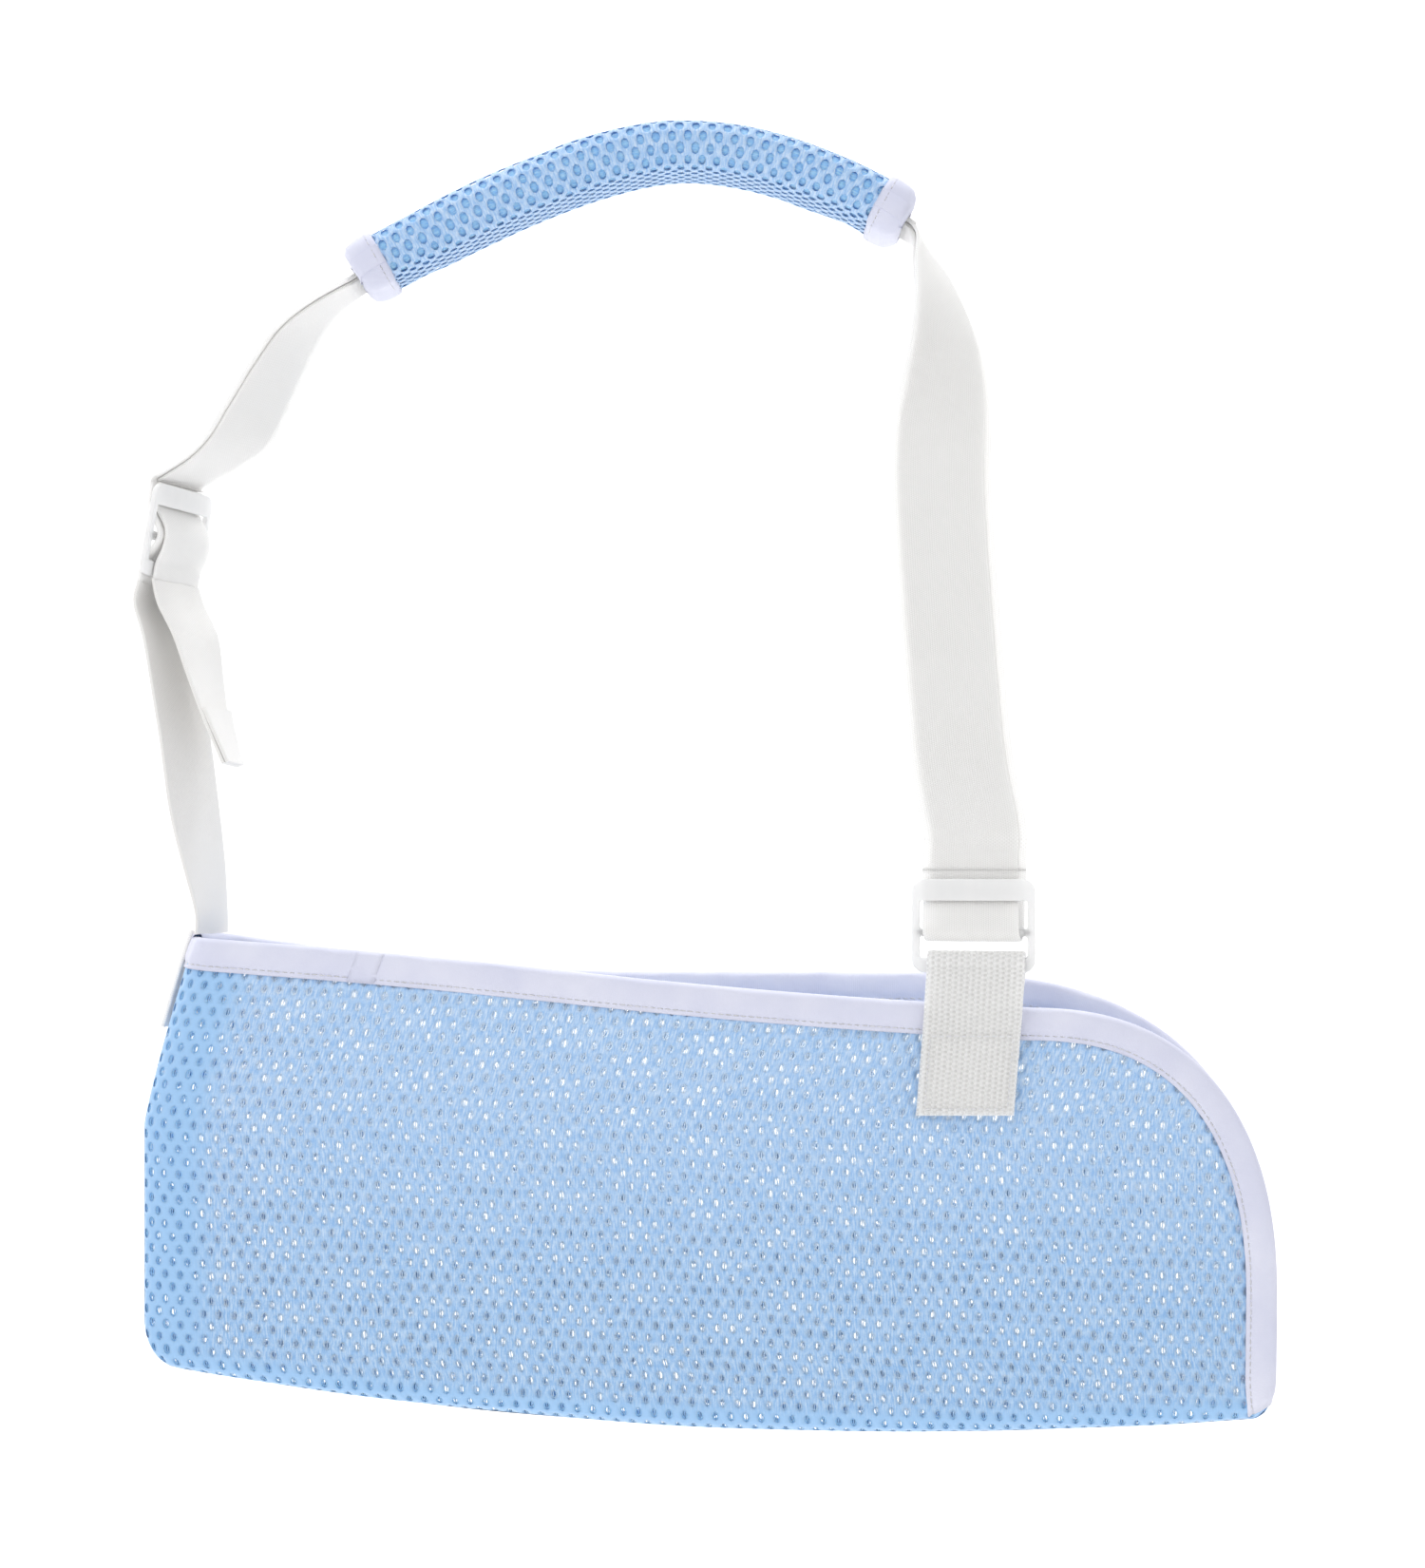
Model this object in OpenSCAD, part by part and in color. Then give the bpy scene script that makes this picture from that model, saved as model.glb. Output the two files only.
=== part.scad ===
// Arm sling: a mesh forearm pouch hung from a doubled webbing strap with a padded neck rest.
// +X runs from the elbow end to the hand end, -Y faces the viewer of the wearer's front, +Z is up.
// The origin is the middle of the neck pad's underside, where the sling rests on the neck.

/* [Pouch] */
// Distance from the neck rest to the elbow end of the pouch
elbow_reach = 211.5; // [205:0.5:218]
// Distance from the neck rest to the hand end of the pouch
hand_reach = 238; // [232:0.5:244]
// Drop from the neck rest to the lowest point of the bottom edge
bottom_drop = 502.5; // [495:0.5:510]
// Drop from the neck rest to the front rim at the elbow
rim_drop = 306; // [302:0.5:310]
// How much lower the front rim lies at the hand end than at the elbow
front_rim_fall = 27; // [20:0.5:34]
// How much lower the back rim lies at the hand end than at the elbow
back_rim_fall = 16.5; // [10:0.5:22]
// How far the elbow end leans in from its widest height to its rim
elbow_lean = 20.5; // [15:0.5:24]
// Thickness of the spacer mesh
mesh_t = 3; // [2:0.1:4]
// Distance from the seam plane forward to the front panel at the buckle
front_depth = 25; // [20:0.5:30]
// Distance from the seam plane back to the back panel at the elbow
back_depth = 32; // [26:0.5:36]

/* [Binding] */
// Width of the binding tape on each side of the rim
binding_w = 11.5; // [9:0.5:14]
// Thickness of the binding tape
binding_t = 0.8; // [0.6:0.1:1]

/* [Strap] */
// Width of the strap webbing
strap_w = 38; // [36:0.5:38.5]
// Thickness of the strap webbing
strap_t = 1.6; // [1.2:0.1:1.7]
// Distance between the middles of the two strap layers
layer_pitch = 1.8; // [1.7:0.1:2]
// Sideways offset of each strap layer from the middle
layer_shift = 1.5; // [0:0.5:1.5]
// Width of the heavy loop webbing
loop_w = 38.6; // [36:0.1:39]
// Thickness of the heavy loop webbing
loop_t = 2; // [1.6:0.1:2.2]

/* [Neck pad] */
// Width of the pad across the neck
pad_w = 56; // [52:1:62]
// Height of the pad
pad_h = 20; // [19:0.5:22]
// Gap between the strap and the tunnel that it runs through in the pad
tunnel_gap = 2; // [1.5:0.1:2.4]

/* [Sliders] */
// Width of each strap slider
slider_w = 48.6; // [48:0.1:50]
// Height of each strap slider
slider_h = 37; // [37:0.1:38]
// Thickness of each strap slider
slider_t = 2.4; // [2:0.1:2.4]

/* [Hidden] */
$fn = 48;

mesh_blue = [0.58, 0.75, 0.93];
tape_lavender = [0.86, 0.86, 0.95];
webbing_white = [0.94, 0.94, 0.93];
slider_white = [0.95, 0.96, 0.96, 0.7];
thread_white = [0.97, 0.97, 0.97];

gap = 0.2;        // between soft pieces of one body

// ---- helpers -------------------------------------------------------------------------------

function lerp(a, b, t) = a + (b - a) * t;
function clamp01(t) = min(1, max(0, t));
function unit(v) = v / norm(v);
// Rises from 0 to 1 like the quarter of a circle (p = 2) or of a blunter superellipse
function round_in(t, p = 2) = pow(1 - pow(1 - clamp01(t), p), 1 / p);
function turn_y(v, a) = [v[0] * cos(a) + v[2] * sin(a), v[1], v[2] * cos(a) - v[0] * sin(a)];
function turn_z(v, a) = [v[0] * cos(a) - v[1] * sin(a), v[0] * sin(a) + v[1] * cos(a), v[2]];
// A point of a slider's own frame (X width, -Y front, Z up), placed in the sling
function placed(v, at, lean, yaw) = at + turn_y(turn_z(v, yaw), lean);

function catmull(a, b, c, d, t) =
    0.5 * (2 * b + (c - a) * t + (2 * a - 5 * b + 4 * c - d) * t * t
           + (3 * b - a - 3 * c + d) * t * t * t);
// A smooth curve through control points, each with any number of values
function smooth(pts, steps) = let(last = len(pts) - 1) [
    for (i = [0 : last - 1], k = [0 : steps - 1])
        catmull(pts[max(i - 1, 0)], pts[i], pts[i + 1], pts[min(i + 2, last)], k / steps),
    pts[last]];

// A closed solid between two grids of points, skin_a outside and skin_b inside
module shell(skin_a, skin_b) {
    rows = len(skin_a);
    cols = len(skin_a[0]);
    half = rows * cols;
    points = [for (skin = [skin_a, skin_b], row = skin, p = row) p];
    edge = concat(
        [for (c = [0 : cols - 2]) c],
        [for (r = [0 : rows - 2]) r * cols + cols - 1],
        [for (c = [cols - 1 : -1 : 1]) (rows - 1) * cols + c],
        [for (r = [rows - 1 : -1 : 1]) r * cols]);
    faces = concat(
        [for (r = [0 : rows - 2], c = [0 : cols - 2]) let(i = r * cols + c)
            each [[i, i + cols, i + 1], [i + 1, i + cols, i + cols + 1]]],
        [for (r = [0 : rows - 2], c = [0 : cols - 2]) let(i = half + r * cols + c)
            each [[i, i + 1, i + cols], [i + 1, i + cols + 1, i + cols]]],
        [for (k = [0 : len(edge) - 1]) let(a = edge[k], b = edge[(k + 1) % len(edge)])
            each [[a, b, half + a], [b, half + b, half + a]]]);
    polyhedron(points = points, faces = faces, convexity = 10);
}

// ---- webbing -------------------------------------------------------------------------------
// A route is a list of stations [x, y, z, yaw]. Yaw turns the width from +X towards +Y.
// Seen along the route from the elbow over the neck to the hand, "out" is away from the neck.

function ahead(route, i) = let(last = len(route) - 1, a = route[max(i - 1, 0)],
    b = route[min(i + 1, last)]) unit([b[0] - a[0], b[1] - a[1], b[2] - a[2]]);
function across(route, i) = let(t = ahead(route, i), a = route[i][3],
    w = [cos(a), sin(a), 0]) unit(w - (w * t) * t);
function out(route, i) = cross(ahead(route, i), across(route, i));
function at(route, i) = [route[i][0], route[i][1], route[i][2]];
function side_line(route, across_mm, out_mm) = [for (i = [0 : len(route) - 1])
    at(route, i) + across_mm * across(route, i) + out_mm * out(route, i)];

module webbing(route, shift = 0, lift = 0, w = strap_w, t = strap_t) {
    shell([side_line(route, shift - w / 2, lift + t / 2), side_line(route, shift + w / 2, lift + t / 2)],
          [side_line(route, shift - w / 2, lift - t / 2), side_line(route, shift + w / 2, lift - t / 2)]);
}
module outer_layer(route) webbing(route, -layer_shift, layer_pitch / 2);
module inner_layer(route) webbing(route, layer_shift, -layer_pitch / 2);

// A webbing bent round a slider's bars: stations [depth, height, sideways, turn] in the slider's
// frame, where turn is how far the width has turned about the vertical there
module bent_webbing(profile, at, lean, yaw, w = strap_w, t = strap_t) {
    last = len(profile) - 1;
    function spot(i) = [profile[i][0], profile[i][1]];
    function along(i) = unit(spot(min(i + 1, last)) - spot(max(i - 1, 0)));
    function face(i, x, s) = let(d = along(i), p = spot(i) + s * [-d[1], d[0]])
        placed(turn_z([x + profile[i][2], p[0], p[1]], profile[i][3]), at, lean, yaw);
    function edge(x, s) = [for (i = [0 : last]) face(i, x, s)];
    shell([edge(w / 2, t / 2), edge(-w / 2, t / 2)], [edge(w / 2, -t / 2), edge(-w / 2, -t / 2)]);
}
// Gives plain [depth, height] stations a sideways offset that changes evenly, and no turn
function set_over(profile, from, to) = [for (i = [0 : len(profile) - 1])
    [profile[i][0], profile[i][1], lerp(from, to, i / (len(profile) - 1)), 0]];
function bend(c, r, from, to, steps) = [for (k = [0 : steps])
    c + r * [cos(lerp(from, to, k / steps)), sin(lerp(from, to, k / steps))]];

// ---- neck pad ------------------------------------------------------------------------------
// The pad's middle line over the neck. Its first and last stretches carry the end bindings.

pad_line = [[-127, 0, -41, 90], [-117, 0, -34.6, 90], [-85, 0, -18, 90], [-60, 0, -6.5, 90],
    [-32, 0, 4, 90], [-5, 0, 10.2, 90], [19, 0, 9.6, 90], [41, 0, 4.8, 90], [64, 0, -3.8, 90],
    [81.5, 0, -12.4, 90], [92.5, 0, -19, 90]];
line_steps = 3;
pad_route = smooth(pad_line, line_steps);
pad_last = len(pad_route) - 1;
strap_sink = 1.5;        // how far the strap lies under the pad's middle
tunnel_h = layer_pitch + strap_t + 2 * tunnel_gap;
tunnel_w = strap_w + 2 * layer_shift + 2 * tunnel_gap;

// A closed loop of points [across, out]: a slot shape w wide and h high
function slot_loop(w, h, out_mm = 0, steps = 8) = [for (s = [1, -1], k = [0 : steps])
    let(a = (s > 0 ? -90 : 90) + 180 * k / steps)
    [s * (w - h) / 2 + h / 2 * cos(a), out_mm + h / 2 * sin(a)]];

// A tube along a route: outer and inner hold one loop of points for each station
module tube(route, outer, inner) {
    last = len(route) - 1;
    n = len(outer[0]);
    function placed_loop(i, points) = [for (p = points)
        at(route, i) + p[0] * across(route, i) + p[1] * out(route, i)];
    points = concat(
        [for (i = [0 : last], p = placed_loop(i, outer[i])) p],
        [for (i = [0 : last], p = placed_loop(i, inner[i])) p]);
    half = (last + 1) * n;
    faces = concat(
        [for (i = [0 : last - 1], k = [0 : n - 1]) let(a = i * n + k, b = i * n + (k + 1) % n)
            each [[a, a + n, b], [b, a + n, b + n]]],
        [for (i = [0 : last - 1], k = [0 : n - 1]) let(a = half + i * n + k, b = half + i * n + (k + 1) % n)
            each [[a, b, a + n], [b, b + n, a + n]]],
        [for (k = [0 : n - 1]) let(b = (k + 1) % n) each [[k, b, half + k], [b, half + b, half + k]]],
        [for (k = [0 : n - 1]) let(m = last * n, b = (k + 1) % n)
            each [[m + b, m + k, half + m + k], [half + m + b, m + b, half + m + k]]]);
    polyhedron(points = points, faces = faces, convexity = 6);
}
function part_of(route, from, to) = [for (i = [from : to]) route[i]];

body_route = part_of(pad_route, line_steps, pad_last - line_steps);
module pad_layer(outer, inner) {
    n = len(body_route);
    color(mesh_blue) tube(body_route, [for (i = [1 : n]) outer], [for (i = [1 : n]) inner]);
}
module neck_pad_mesh() {
    pad_layer(slot_loop(pad_w, pad_h), slot_loop(pad_w - 2 * mesh_t, pad_h - 2 * mesh_t));
}
module neck_pad_filling() {
    inset = 2 * (mesh_t + gap);
    pad_layer(slot_loop(pad_w - inset, pad_h - inset), slot_loop(tunnel_w, tunnel_h, -strap_sink));
}
// The binding closes the pad's end down to the strap's tunnel. Its outside is rounded, from the
// full height where it meets the mesh (swell 1) to a lower mouth (swell 0).
module pad_binding(route, swells) {
    lip = 2.2;
    function rounded(s) = let(d = 2 * (binding_t - lip * (1 - s))) slot_loop(pad_w + d, pad_h + d);
    function flared(s) = let(d = 1.6 * (1 - s)) slot_loop(tunnel_w + d, tunnel_h + d, -strap_sink);
    color(tape_lavender) tube(route, [for (s = swells) rounded(s)], [for (s = swells) flared(s)]);
}
// The stretch from the pad's end to just short of the mesh, as a share of one step of the route
end_gap = 0.2;
module neck_pad_binding_elbow_side() {
    joint = lerp(pad_route[line_steps], pad_route[line_steps - 1], end_gap);
    pad_binding(concat(part_of(pad_route, 0, line_steps - 1), [joint]), [0.1, 0.8, 1, 1]);
}
module neck_pad_binding_hand_side() {
    joint = lerp(pad_route[pad_last - line_steps], pad_route[pad_last - line_steps + 1], end_gap);
    after = part_of(pad_route, pad_last - line_steps + 1, pad_last);
    pad_binding(concat([joint], after), [1, 1, 0.8, 0.1]);
}

// ---- strap ---------------------------------------------------------------------------------

// The strap's middle line through the pad, and on past each end
function under_pad(i, past) = let(p = at(pad_route, i) - strap_sink * out(pad_route, i)
    + past * ahead(pad_route, i)) [p[0], p[1], p[2], 90];
past_pad = 3;
layer_gap = 2;       // between one stretch of strap and the next in one body
pad_run_route = concat([under_pad(0, -past_pad)], [for (i = [0 : pad_last]) under_pad(i, 0)],
    [under_pad(pad_last, past_pad)]);
module strap_pad_run_outer() color(webbing_white) outer_layer(pad_run_route);
module strap_pad_run_inner() color(webbing_white) inner_layer(pad_run_route);
elbow_side_exit = under_pad(0, -past_pad - layer_gap);
hand_side_exit = under_pad(pad_last, past_pad + layer_gap);

// Front slider on the hand side, rear slider on the elbow side
front_yaw = -8;
front_at = [117.5, -31.5, -299.4];
rear_yaw = 70;
rear_lean = 10;
rear_at = [-201.5, 8, -143];
reach = 22;         // how far the webbing rides with a slider above and below its middle
short_reach = 19;   // the same above the rear slider, where the strap bends at once
run_gap = 2.4;      // between a run of strap and the stretch that rides with a slider
behind = 3.3;       // middle of both layers behind a slider's top bar

function above_slider(at, lean, yaw, up) =
    let(p = placed([0, behind, up + run_gap], at, lean, yaw)) [p[0], p[1], p[2], yaw];

hand_run = smooth([
    hand_side_exit, [97.8, -0.5, -26, 84], [101.5, -1.5, -36, 70], [105.3, -3, -50, 57],
    [107.8, -4.5, -68, 40], [107.5, -6, -86.5, 22], [106, -8, -104, 4], [105.6, -11, -127, -1],
    [108.3, -15.5, -173, -5],
    [112.7, -23, -230, front_yaw], above_slider(front_at, 0, front_yaw, reach + 14),
    above_slider(front_at, 0, front_yaw, reach + 5), above_slider(front_at, 0, front_yaw, reach)], 3);
elbow_run = smooth([
    above_slider(rear_at, rear_lean, rear_yaw, short_reach + 0.6),
    [-186.5, 4.5, -113.5, 64], [-175.4, 2, -104, 58], [-168, 1, -92, 61], [-161, 0.5, -79, 65], [-151.6, 0.3, -63.5, 71], [-140.5, 0, -52, 82],
    elbow_side_exit], 3);
module strap_hand_run_front() color(webbing_white) outer_layer(hand_run);
module strap_hand_run_return() color(webbing_white) inner_layer(hand_run);
module strap_elbow_run_outer() color(webbing_white) outer_layer(elbow_run);
module strap_elbow_run_inner() color(webbing_white) inner_layer(elbow_run);

// The single layer from the elbow up to the rear slider
elbow_anchor = [-188, 12.5, -303];
function below_slider(more) = let(
    p = placed([-layer_shift, 2.6, -reach - run_gap - more], rear_at, rear_lean, rear_yaw))
    [p[0], p[1], p[2], rear_yaw];
single_run = smooth([
    [elbow_anchor[0], elbow_anchor[1], elbow_anchor[2] + 8.5, 78], [-190.5, 12, -277, 72],
    [-194.5, 10.6, -253, 67], [-198, 8.6, -225, 66], [-202, 7.2, -200, 66], [-205.5, 6.6, -184, 68],
    below_slider(5), below_slider(0)], 3);
module strap_elbow_run_single() color(webbing_white) webbing(single_run);

// ---- sliders -------------------------------------------------------------------------------
// Three bars between two side rails. The round middle bar carries the strap.

top_bar_h = 8.6;
middle_bar_z = -2.6;
middle_bar_r = 1.9;
bottom_bar_h = 6;
bottom_bar_z = -slider_h / 2 + bottom_bar_h / 2;
rail_w = (slider_w - strap_w - 2 * layer_shift - 1.4) / 2;
corner_r = 5;

module slider() {
    color(slider_white) {
        difference() {
            rotate([90, 0, 0]) linear_extrude(slider_t, center = true) {
                square([slider_w, slider_h - 2 * corner_r], center = true);
                square([slider_w - 2 * corner_r, slider_h], center = true);
                for (x = [-1, 1], z = [-1, 1])
                    translate([x * (slider_w / 2 - corner_r), z * (slider_h / 2 - corner_r)])
                        circle(corner_r);
            }
            window_top = slider_h / 2 - top_bar_h;
            window_bottom = -slider_h / 2 + bottom_bar_h;
            translate([-slider_w / 2 + rail_w, -slider_t, window_bottom])
                cube([slider_w - 2 * rail_w, 2 * slider_t, window_top - window_bottom]);
        }
        translate([0, 0, middle_bar_z]) rotate([0, 90, 0])
            cylinder(h = slider_w - 1.6 * rail_w, r = middle_bar_r, center = true);
    }
}
module front_slider() translate(front_at) rotate([0, 0, front_yaw]) slider();
module rear_slider() translate(rear_at) rotate([0, rear_lean, 0]) rotate([0, 0, rear_yaw]) slider();

// The strap passes behind the top bar, round the front of the middle bar, and back up behind itself
fold_r = middle_bar_r + 0.15 + strap_t / 2;
near = behind - layer_pitch / 2;
far = behind + layer_pitch / 2;
module strap_fold_at_front_slider() {
    bar = [0, middle_bar_z];
    color(webbing_white) bent_webbing(
        set_over(concat([[near, reach], [near, 12.4], [near - 0.2, 9.3], [-0.9, 3.6]],
                        bend(bar, fold_r, 170, 370, 12),
                        [[far - 0.3, 4.5], [far, 9.5], [far, 13], [far, reach]]),
                 -layer_shift, layer_shift),
        front_at, 0, front_yaw);
}
// At the rear slider both layers pass behind the top bar and in front of the middle bar. The one
// nearer the neck leaves in front of the bottom bar as the tail, the other behind it to the elbow.
module strap_pass_at_rear_slider() {
    touch = -middle_bar_r - 0.15 - strap_t / 2;
    second = touch - strap_t - gap;
    color(webbing_white) {
        bent_webbing(set_over([[far, short_reach], [far, 12], [far - 0.5, 8.5], [touch + 1.6, 1.5],
            [touch, -1.6], [touch, -3.4], [touch + 1.2, -6.2], [1.6, -10.5], [2.5, -13],
            [2.6, -reach]], -layer_shift, -layer_shift), rear_at, rear_lean, rear_yaw);
        bent_webbing(set_over([[near, short_reach], [near, 12.4], [near - 0.2, 9.4], [second + 1.4, 2.6],
            [second, -1.4], [second, -4], [second + 0.5, -8], [-2.6, -13], [-2.6, -19.5]],
            layer_shift, layer_shift), rear_at, rear_lean, rear_yaw);
    }
}

// ---- tail ----------------------------------------------------------------------------------

tail_top = placed([layer_shift, -2.6, -21.3], rear_at, rear_lean, rear_yaw);
tail_run = smooth([
    [tail_top[0], tail_top[1], tail_top[2], rear_yaw], [-199.5, 7, -171.5, 69], [-193.5, 4.6, -184, 70],
    [-189.8, 3.2, -199, 75], [-186, 2.2, -214, 81], [-182.6, 1.6, -225, 85], [-178.6, 1, -236, 88]], 3);
module strap_tail() color(webbing_white) webbing(tail_run);
// The last stretch is folded back on the tail and stitched down
module strap_tail_hem() {
    last = len(tail_run) - 1;
    hem_route = [for (i = [last - 4 : last]) tail_run[i]];
    color(webbing_white) webbing(hem_route, 0, strap_t + gap);
}

// ---- pouch ---------------------------------------------------------------------------------
// Each panel is a surface over the flat outline of the pouch: s is the distance from the elbow
// edge, z the height. side is -1 for the front panel and 1 for the back panel.

pouch_l = elbow_reach + hand_reach;
corner_start = [250.5 + 100, 211.5 + 98];      // where the rim starts to turn down, front and back
corner_end_z = -452;
bottom_arc_r = 1695;
bottom_low_s = 306;
elbow_corner_r = 12;
hand_corner_r = 8;
edge_r = 9;                                    // roundness of the bottom edge
elbow_edge_low = 24;                           // roundness of the elbow edge, low and high
elbow_edge_high = [10, 14];

function pick(pair, side) = side < 0 ? pair[0] : pair[1];
function bottom_arc_z(s) = -bottom_drop + pow(s - bottom_low_s, 2) / (2 * bottom_arc_r);
function bottom_z(s) = bottom_arc_z(s)
    + elbow_corner_r * (1 - round_in(s / elbow_corner_r))
    + hand_corner_r * (1 - round_in((pouch_l - s) / hand_corner_r));
function rim_start_z(side) = -rim_drop + (side < 0 ? 0 : 1.5);
function rim_fall(side, s) = side < 0
    ? let(t = clamp01(s / corner_start[0])) front_rim_fall * (t - 0.04 * sin(360 * t))
    : back_rim_fall * sin(90 * clamp01(s / 200));
// The rim as it would run without its rounded corner, and with it
function full_rim_z(side, s) = rim_start_z(side) - rim_fall(side, s);
function rim_z(side, s) = let(c = pick(corner_start, side), p = side < 0 ? 2.4 : 2.6,
    t = clamp01((s - c) / (pouch_l - c)))
    lerp(corner_end_z, full_rim_z(side, s), pow(1 - pow(t, p), 1 / p));
function lean_in(s, z) = elbow_lean * pow(clamp01((z + 380) / 76), 1.15) * clamp01(1 - s / 200);

seam_y = -3;
function front_y(s) = lerp(7.5, front_depth, round_in(s / 330, 1.6)) - 4 * pow(clamp01((s - 345) / 105), 2);
function back_y(s) = lerp(back_depth, 14, clamp01(s / pouch_l));
function depth(side, s, z, low) = let(
    up = clamp01((z - bottom_arc_z(s)) / (full_rim_z(side, s) - bottom_arc_z(s))),
    r = lerp(elbow_edge_low, pick(elbow_edge_high, side), up), full = side < 0 ? front_y(s) : back_y(s))
    round_in(s / r, side < 0 ? 2 : 1.5)
        * (edge_r * round_in((z - low) / edge_r) + max(0, full - edge_r) * pow(up, 0.8));
// A point of the panel's middle surface, over a bottom edge at the height low
function on_panel(side, s, z, low) =
    [s - elbow_reach + lean_in(s, z), seam_y + side * (gap / 2 + depth(side, s, z, low)), z];
function panel_normal(side, s, z) = let(e = s > pouch_l - 1 ? -0.02 : 0.02, low = bottom_z(s),
    p = on_panel(side, s, z, low), a = on_panel(side, s + e, z, low) - p,
    b = on_panel(side, s, z + abs(e), low) - p) unit(cross(a, b)) * sign(e) * side;
// A point off the panel's middle surface, kept on its own side of the seam plane
function off_panel(side, s, z, d) = let(n = panel_normal(side, s, z),
    p = on_panel(side, s, z, bottom_z(s)) + d * n * (n[1] * side >= 0 ? 1 : -1))
    [p[0], seam_y + side * max(gap / 2, side * (p[1] - seam_y)), p[2]];

// Distances from the elbow edge at which the panels are divided
elbow_steps = [for (k = [0 : 6]) elbow_edge_low * (1 - cos(15 * k))];
function stations(side) = let(c = pick(corner_start, side)) concat(elbow_steps,
    [for (k = [1 : 10]) lerp(elbow_edge_low, c, k / 10)],
    [for (k = [1 : 10]) c + (pouch_l - c) * sin(9 * k)]);
row_steps = [for (k = [0 : 5]) edge_r * (1 - cos(18 * k))];
function heights(side, s) = let(low = bottom_z(s), high = rim_z(side, s)) concat(
    [for (d = row_steps) low + d], [for (k = [1 : 12]) lerp(low + edge_r, high, pow(k / 12, 1.3))]);

module panel(side) {
    columns = stations(side);
    function skin(d) = [for (s = columns) [for (z = heights(side, s)) off_panel(side, s, z, d)]];
    color(mesh_blue) if (side > 0) shell(skin(mesh_t / 2), skin(-mesh_t / 2));
        else shell(skin(-mesh_t / 2), skin(mesh_t / 2));
}
module pouch_front_panel() panel(-1);
module pouch_back_panel() panel(1);

// The binding is one tape folded over the rim, along the top and down the hand end
binding_gap = 0.6;      // between the tape and the mesh
function rim_edge(side) = concat(
    [for (s = stations(side)) [s, rim_z(side, s)]],
    [for (k = [1 : 10]) [pouch_l, lerp(corner_end_z, bottom_z(pouch_l) + 2.5, 1 - pow(1 - k / 10, 1.5))]]);
module rim_binding(side) {
    edge = rim_edge(side);
    last = len(edge) - 1;
    cover = mesh_t / 2 + binding_gap;
    // Square to the edge, but upright at the elbow, and turned down into the corner at the end
    function inward(i) = let(d = unit(edge[min(i + 1, last)] - edge[max(i - 1, 0)]))
        i == 0 ? [0, -1] : i == last ? [-0.85, -0.53] : [d[1], -d[0]];
    function inner_edge(i) = edge[i] + binding_w * inward(i);
    function past_edge(i, over) = edge[i] - over * inward(i);
    function ring(i) = let(
        lip = past_edge(i, gap), cap = past_edge(i, gap + binding_t), foot = inner_edge(i),
        mid = lerp(lip, foot, 0.5), skin = cover + binding_t,
        fit = function (q) [q[0], max(q[1], bottom_z(clamp01(q[0] / pouch_l) * pouch_l) + 0.4)]) [
        for (q = [[foot, skin], [mid, skin], [cap, skin], [cap, -skin], [mid, -skin], [foot, -skin],
                  [foot, -cover], [mid, -cover], [lip, -cover], [lip, cover], [mid, cover], [foot, cover]])
            let(on = fit(q[0]), inside = [clamp01(on[0] / pouch_l) * pouch_l, on[1]],
                base = off_panel(side, inside[0], inside[1], q[1]))
            base + [on[0] - inside[0], 0, 0]];
    rings = [for (i = [0 : last]) ring(i)];
    n = 12;
    // Each end of the tape is closed by one strip, so the tape's own thickness is all that it fills
    function strip(base) = [for (k = [0 : 4]) let(a = base + k, b = base + n - 1 - k)
        each [[a + 1, a, b], [b, b - 1, a + 1]]];
    faces = concat(
        [for (i = [0 : last - 1], k = [0 : n - 1]) let(a = i * n + k, b = i * n + (k + 1) % n)
            each [[a, b, a + n], [b, b + n, a + n]]],
        strip(0), [for (f = strip(last * n)) [f[2], f[1], f[0]]]);
    ordered = side > 0 ? [for (f = faces) [for (k = [len(f) - 1 : -1 : 0]) f[k]]] : faces;
    color(tape_lavender) polyhedron(points = [for (r = rings, p = r) p], faces = ordered, convexity = 10);
}
module rim_binding_front() rim_binding(-1);
module rim_binding_back() rim_binding(1);

// ---- attachments ---------------------------------------------------------------------------

// The heavy loop hangs from the slider's bottom bar and is stitched to the front panel
loop_hole_r = norm([slider_t, bottom_bar_h]) / 2 + 0.6;
loop_r = loop_hole_r + loop_t / 2;
loop_foot_z = -374;
loop_top = [front_at[0], front_at[1], front_at[2] + bottom_bar_z];
loop_lap = mesh_t / 2 + binding_gap + binding_t + 0.3;   // clear of the binding that it crosses
// Stations of one ply on the panel, from the rim down. They turn from the slider's yaw to the
// panel's and stand off a little more at the rim, where they are still turning.
ply_z = [-330, -341, -352, -363, loop_foot_z];
// The loop hangs a little aslant, from right of the bar's middle to left of it
loop_aside_top = 1.2;
loop_aside_foot = -3.3;
function loop_aside(z) = lerp(loop_aside_top, loop_aside_foot,
    (loop_top[2] - z) / (loop_top[2] - loop_foot_z));
function loop_ply(layer) = [for (k = [0 : 4]) let(rim = k == 0 ? 1 : 0, z = ply_z[k],
    p = off_panel(-1, front_at[0] + elbow_reach + loop_aside(z), z,
        loop_lap + 1.5 * rim + loop_t / 2 + layer * (loop_t + gap)))
    [p[1] - loop_top[1], z - loop_top[2], loop_aside(z), front_yaw / 2 * rim]];
function reversed(list) = [for (i = [len(list) - 1 : -1 : 0]) list[i]];
module front_loop() {
    over_bar = [for (p = bend([0, 0], loop_r, -20, 200, 14)) [p[0], p[1], loop_aside_top, front_yaw]];
    color(webbing_white) bent_webbing(concat(reversed(loop_ply(0)), over_bar, loop_ply(1)),
        loop_top, 0, 0, loop_w, loop_t);
}
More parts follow.
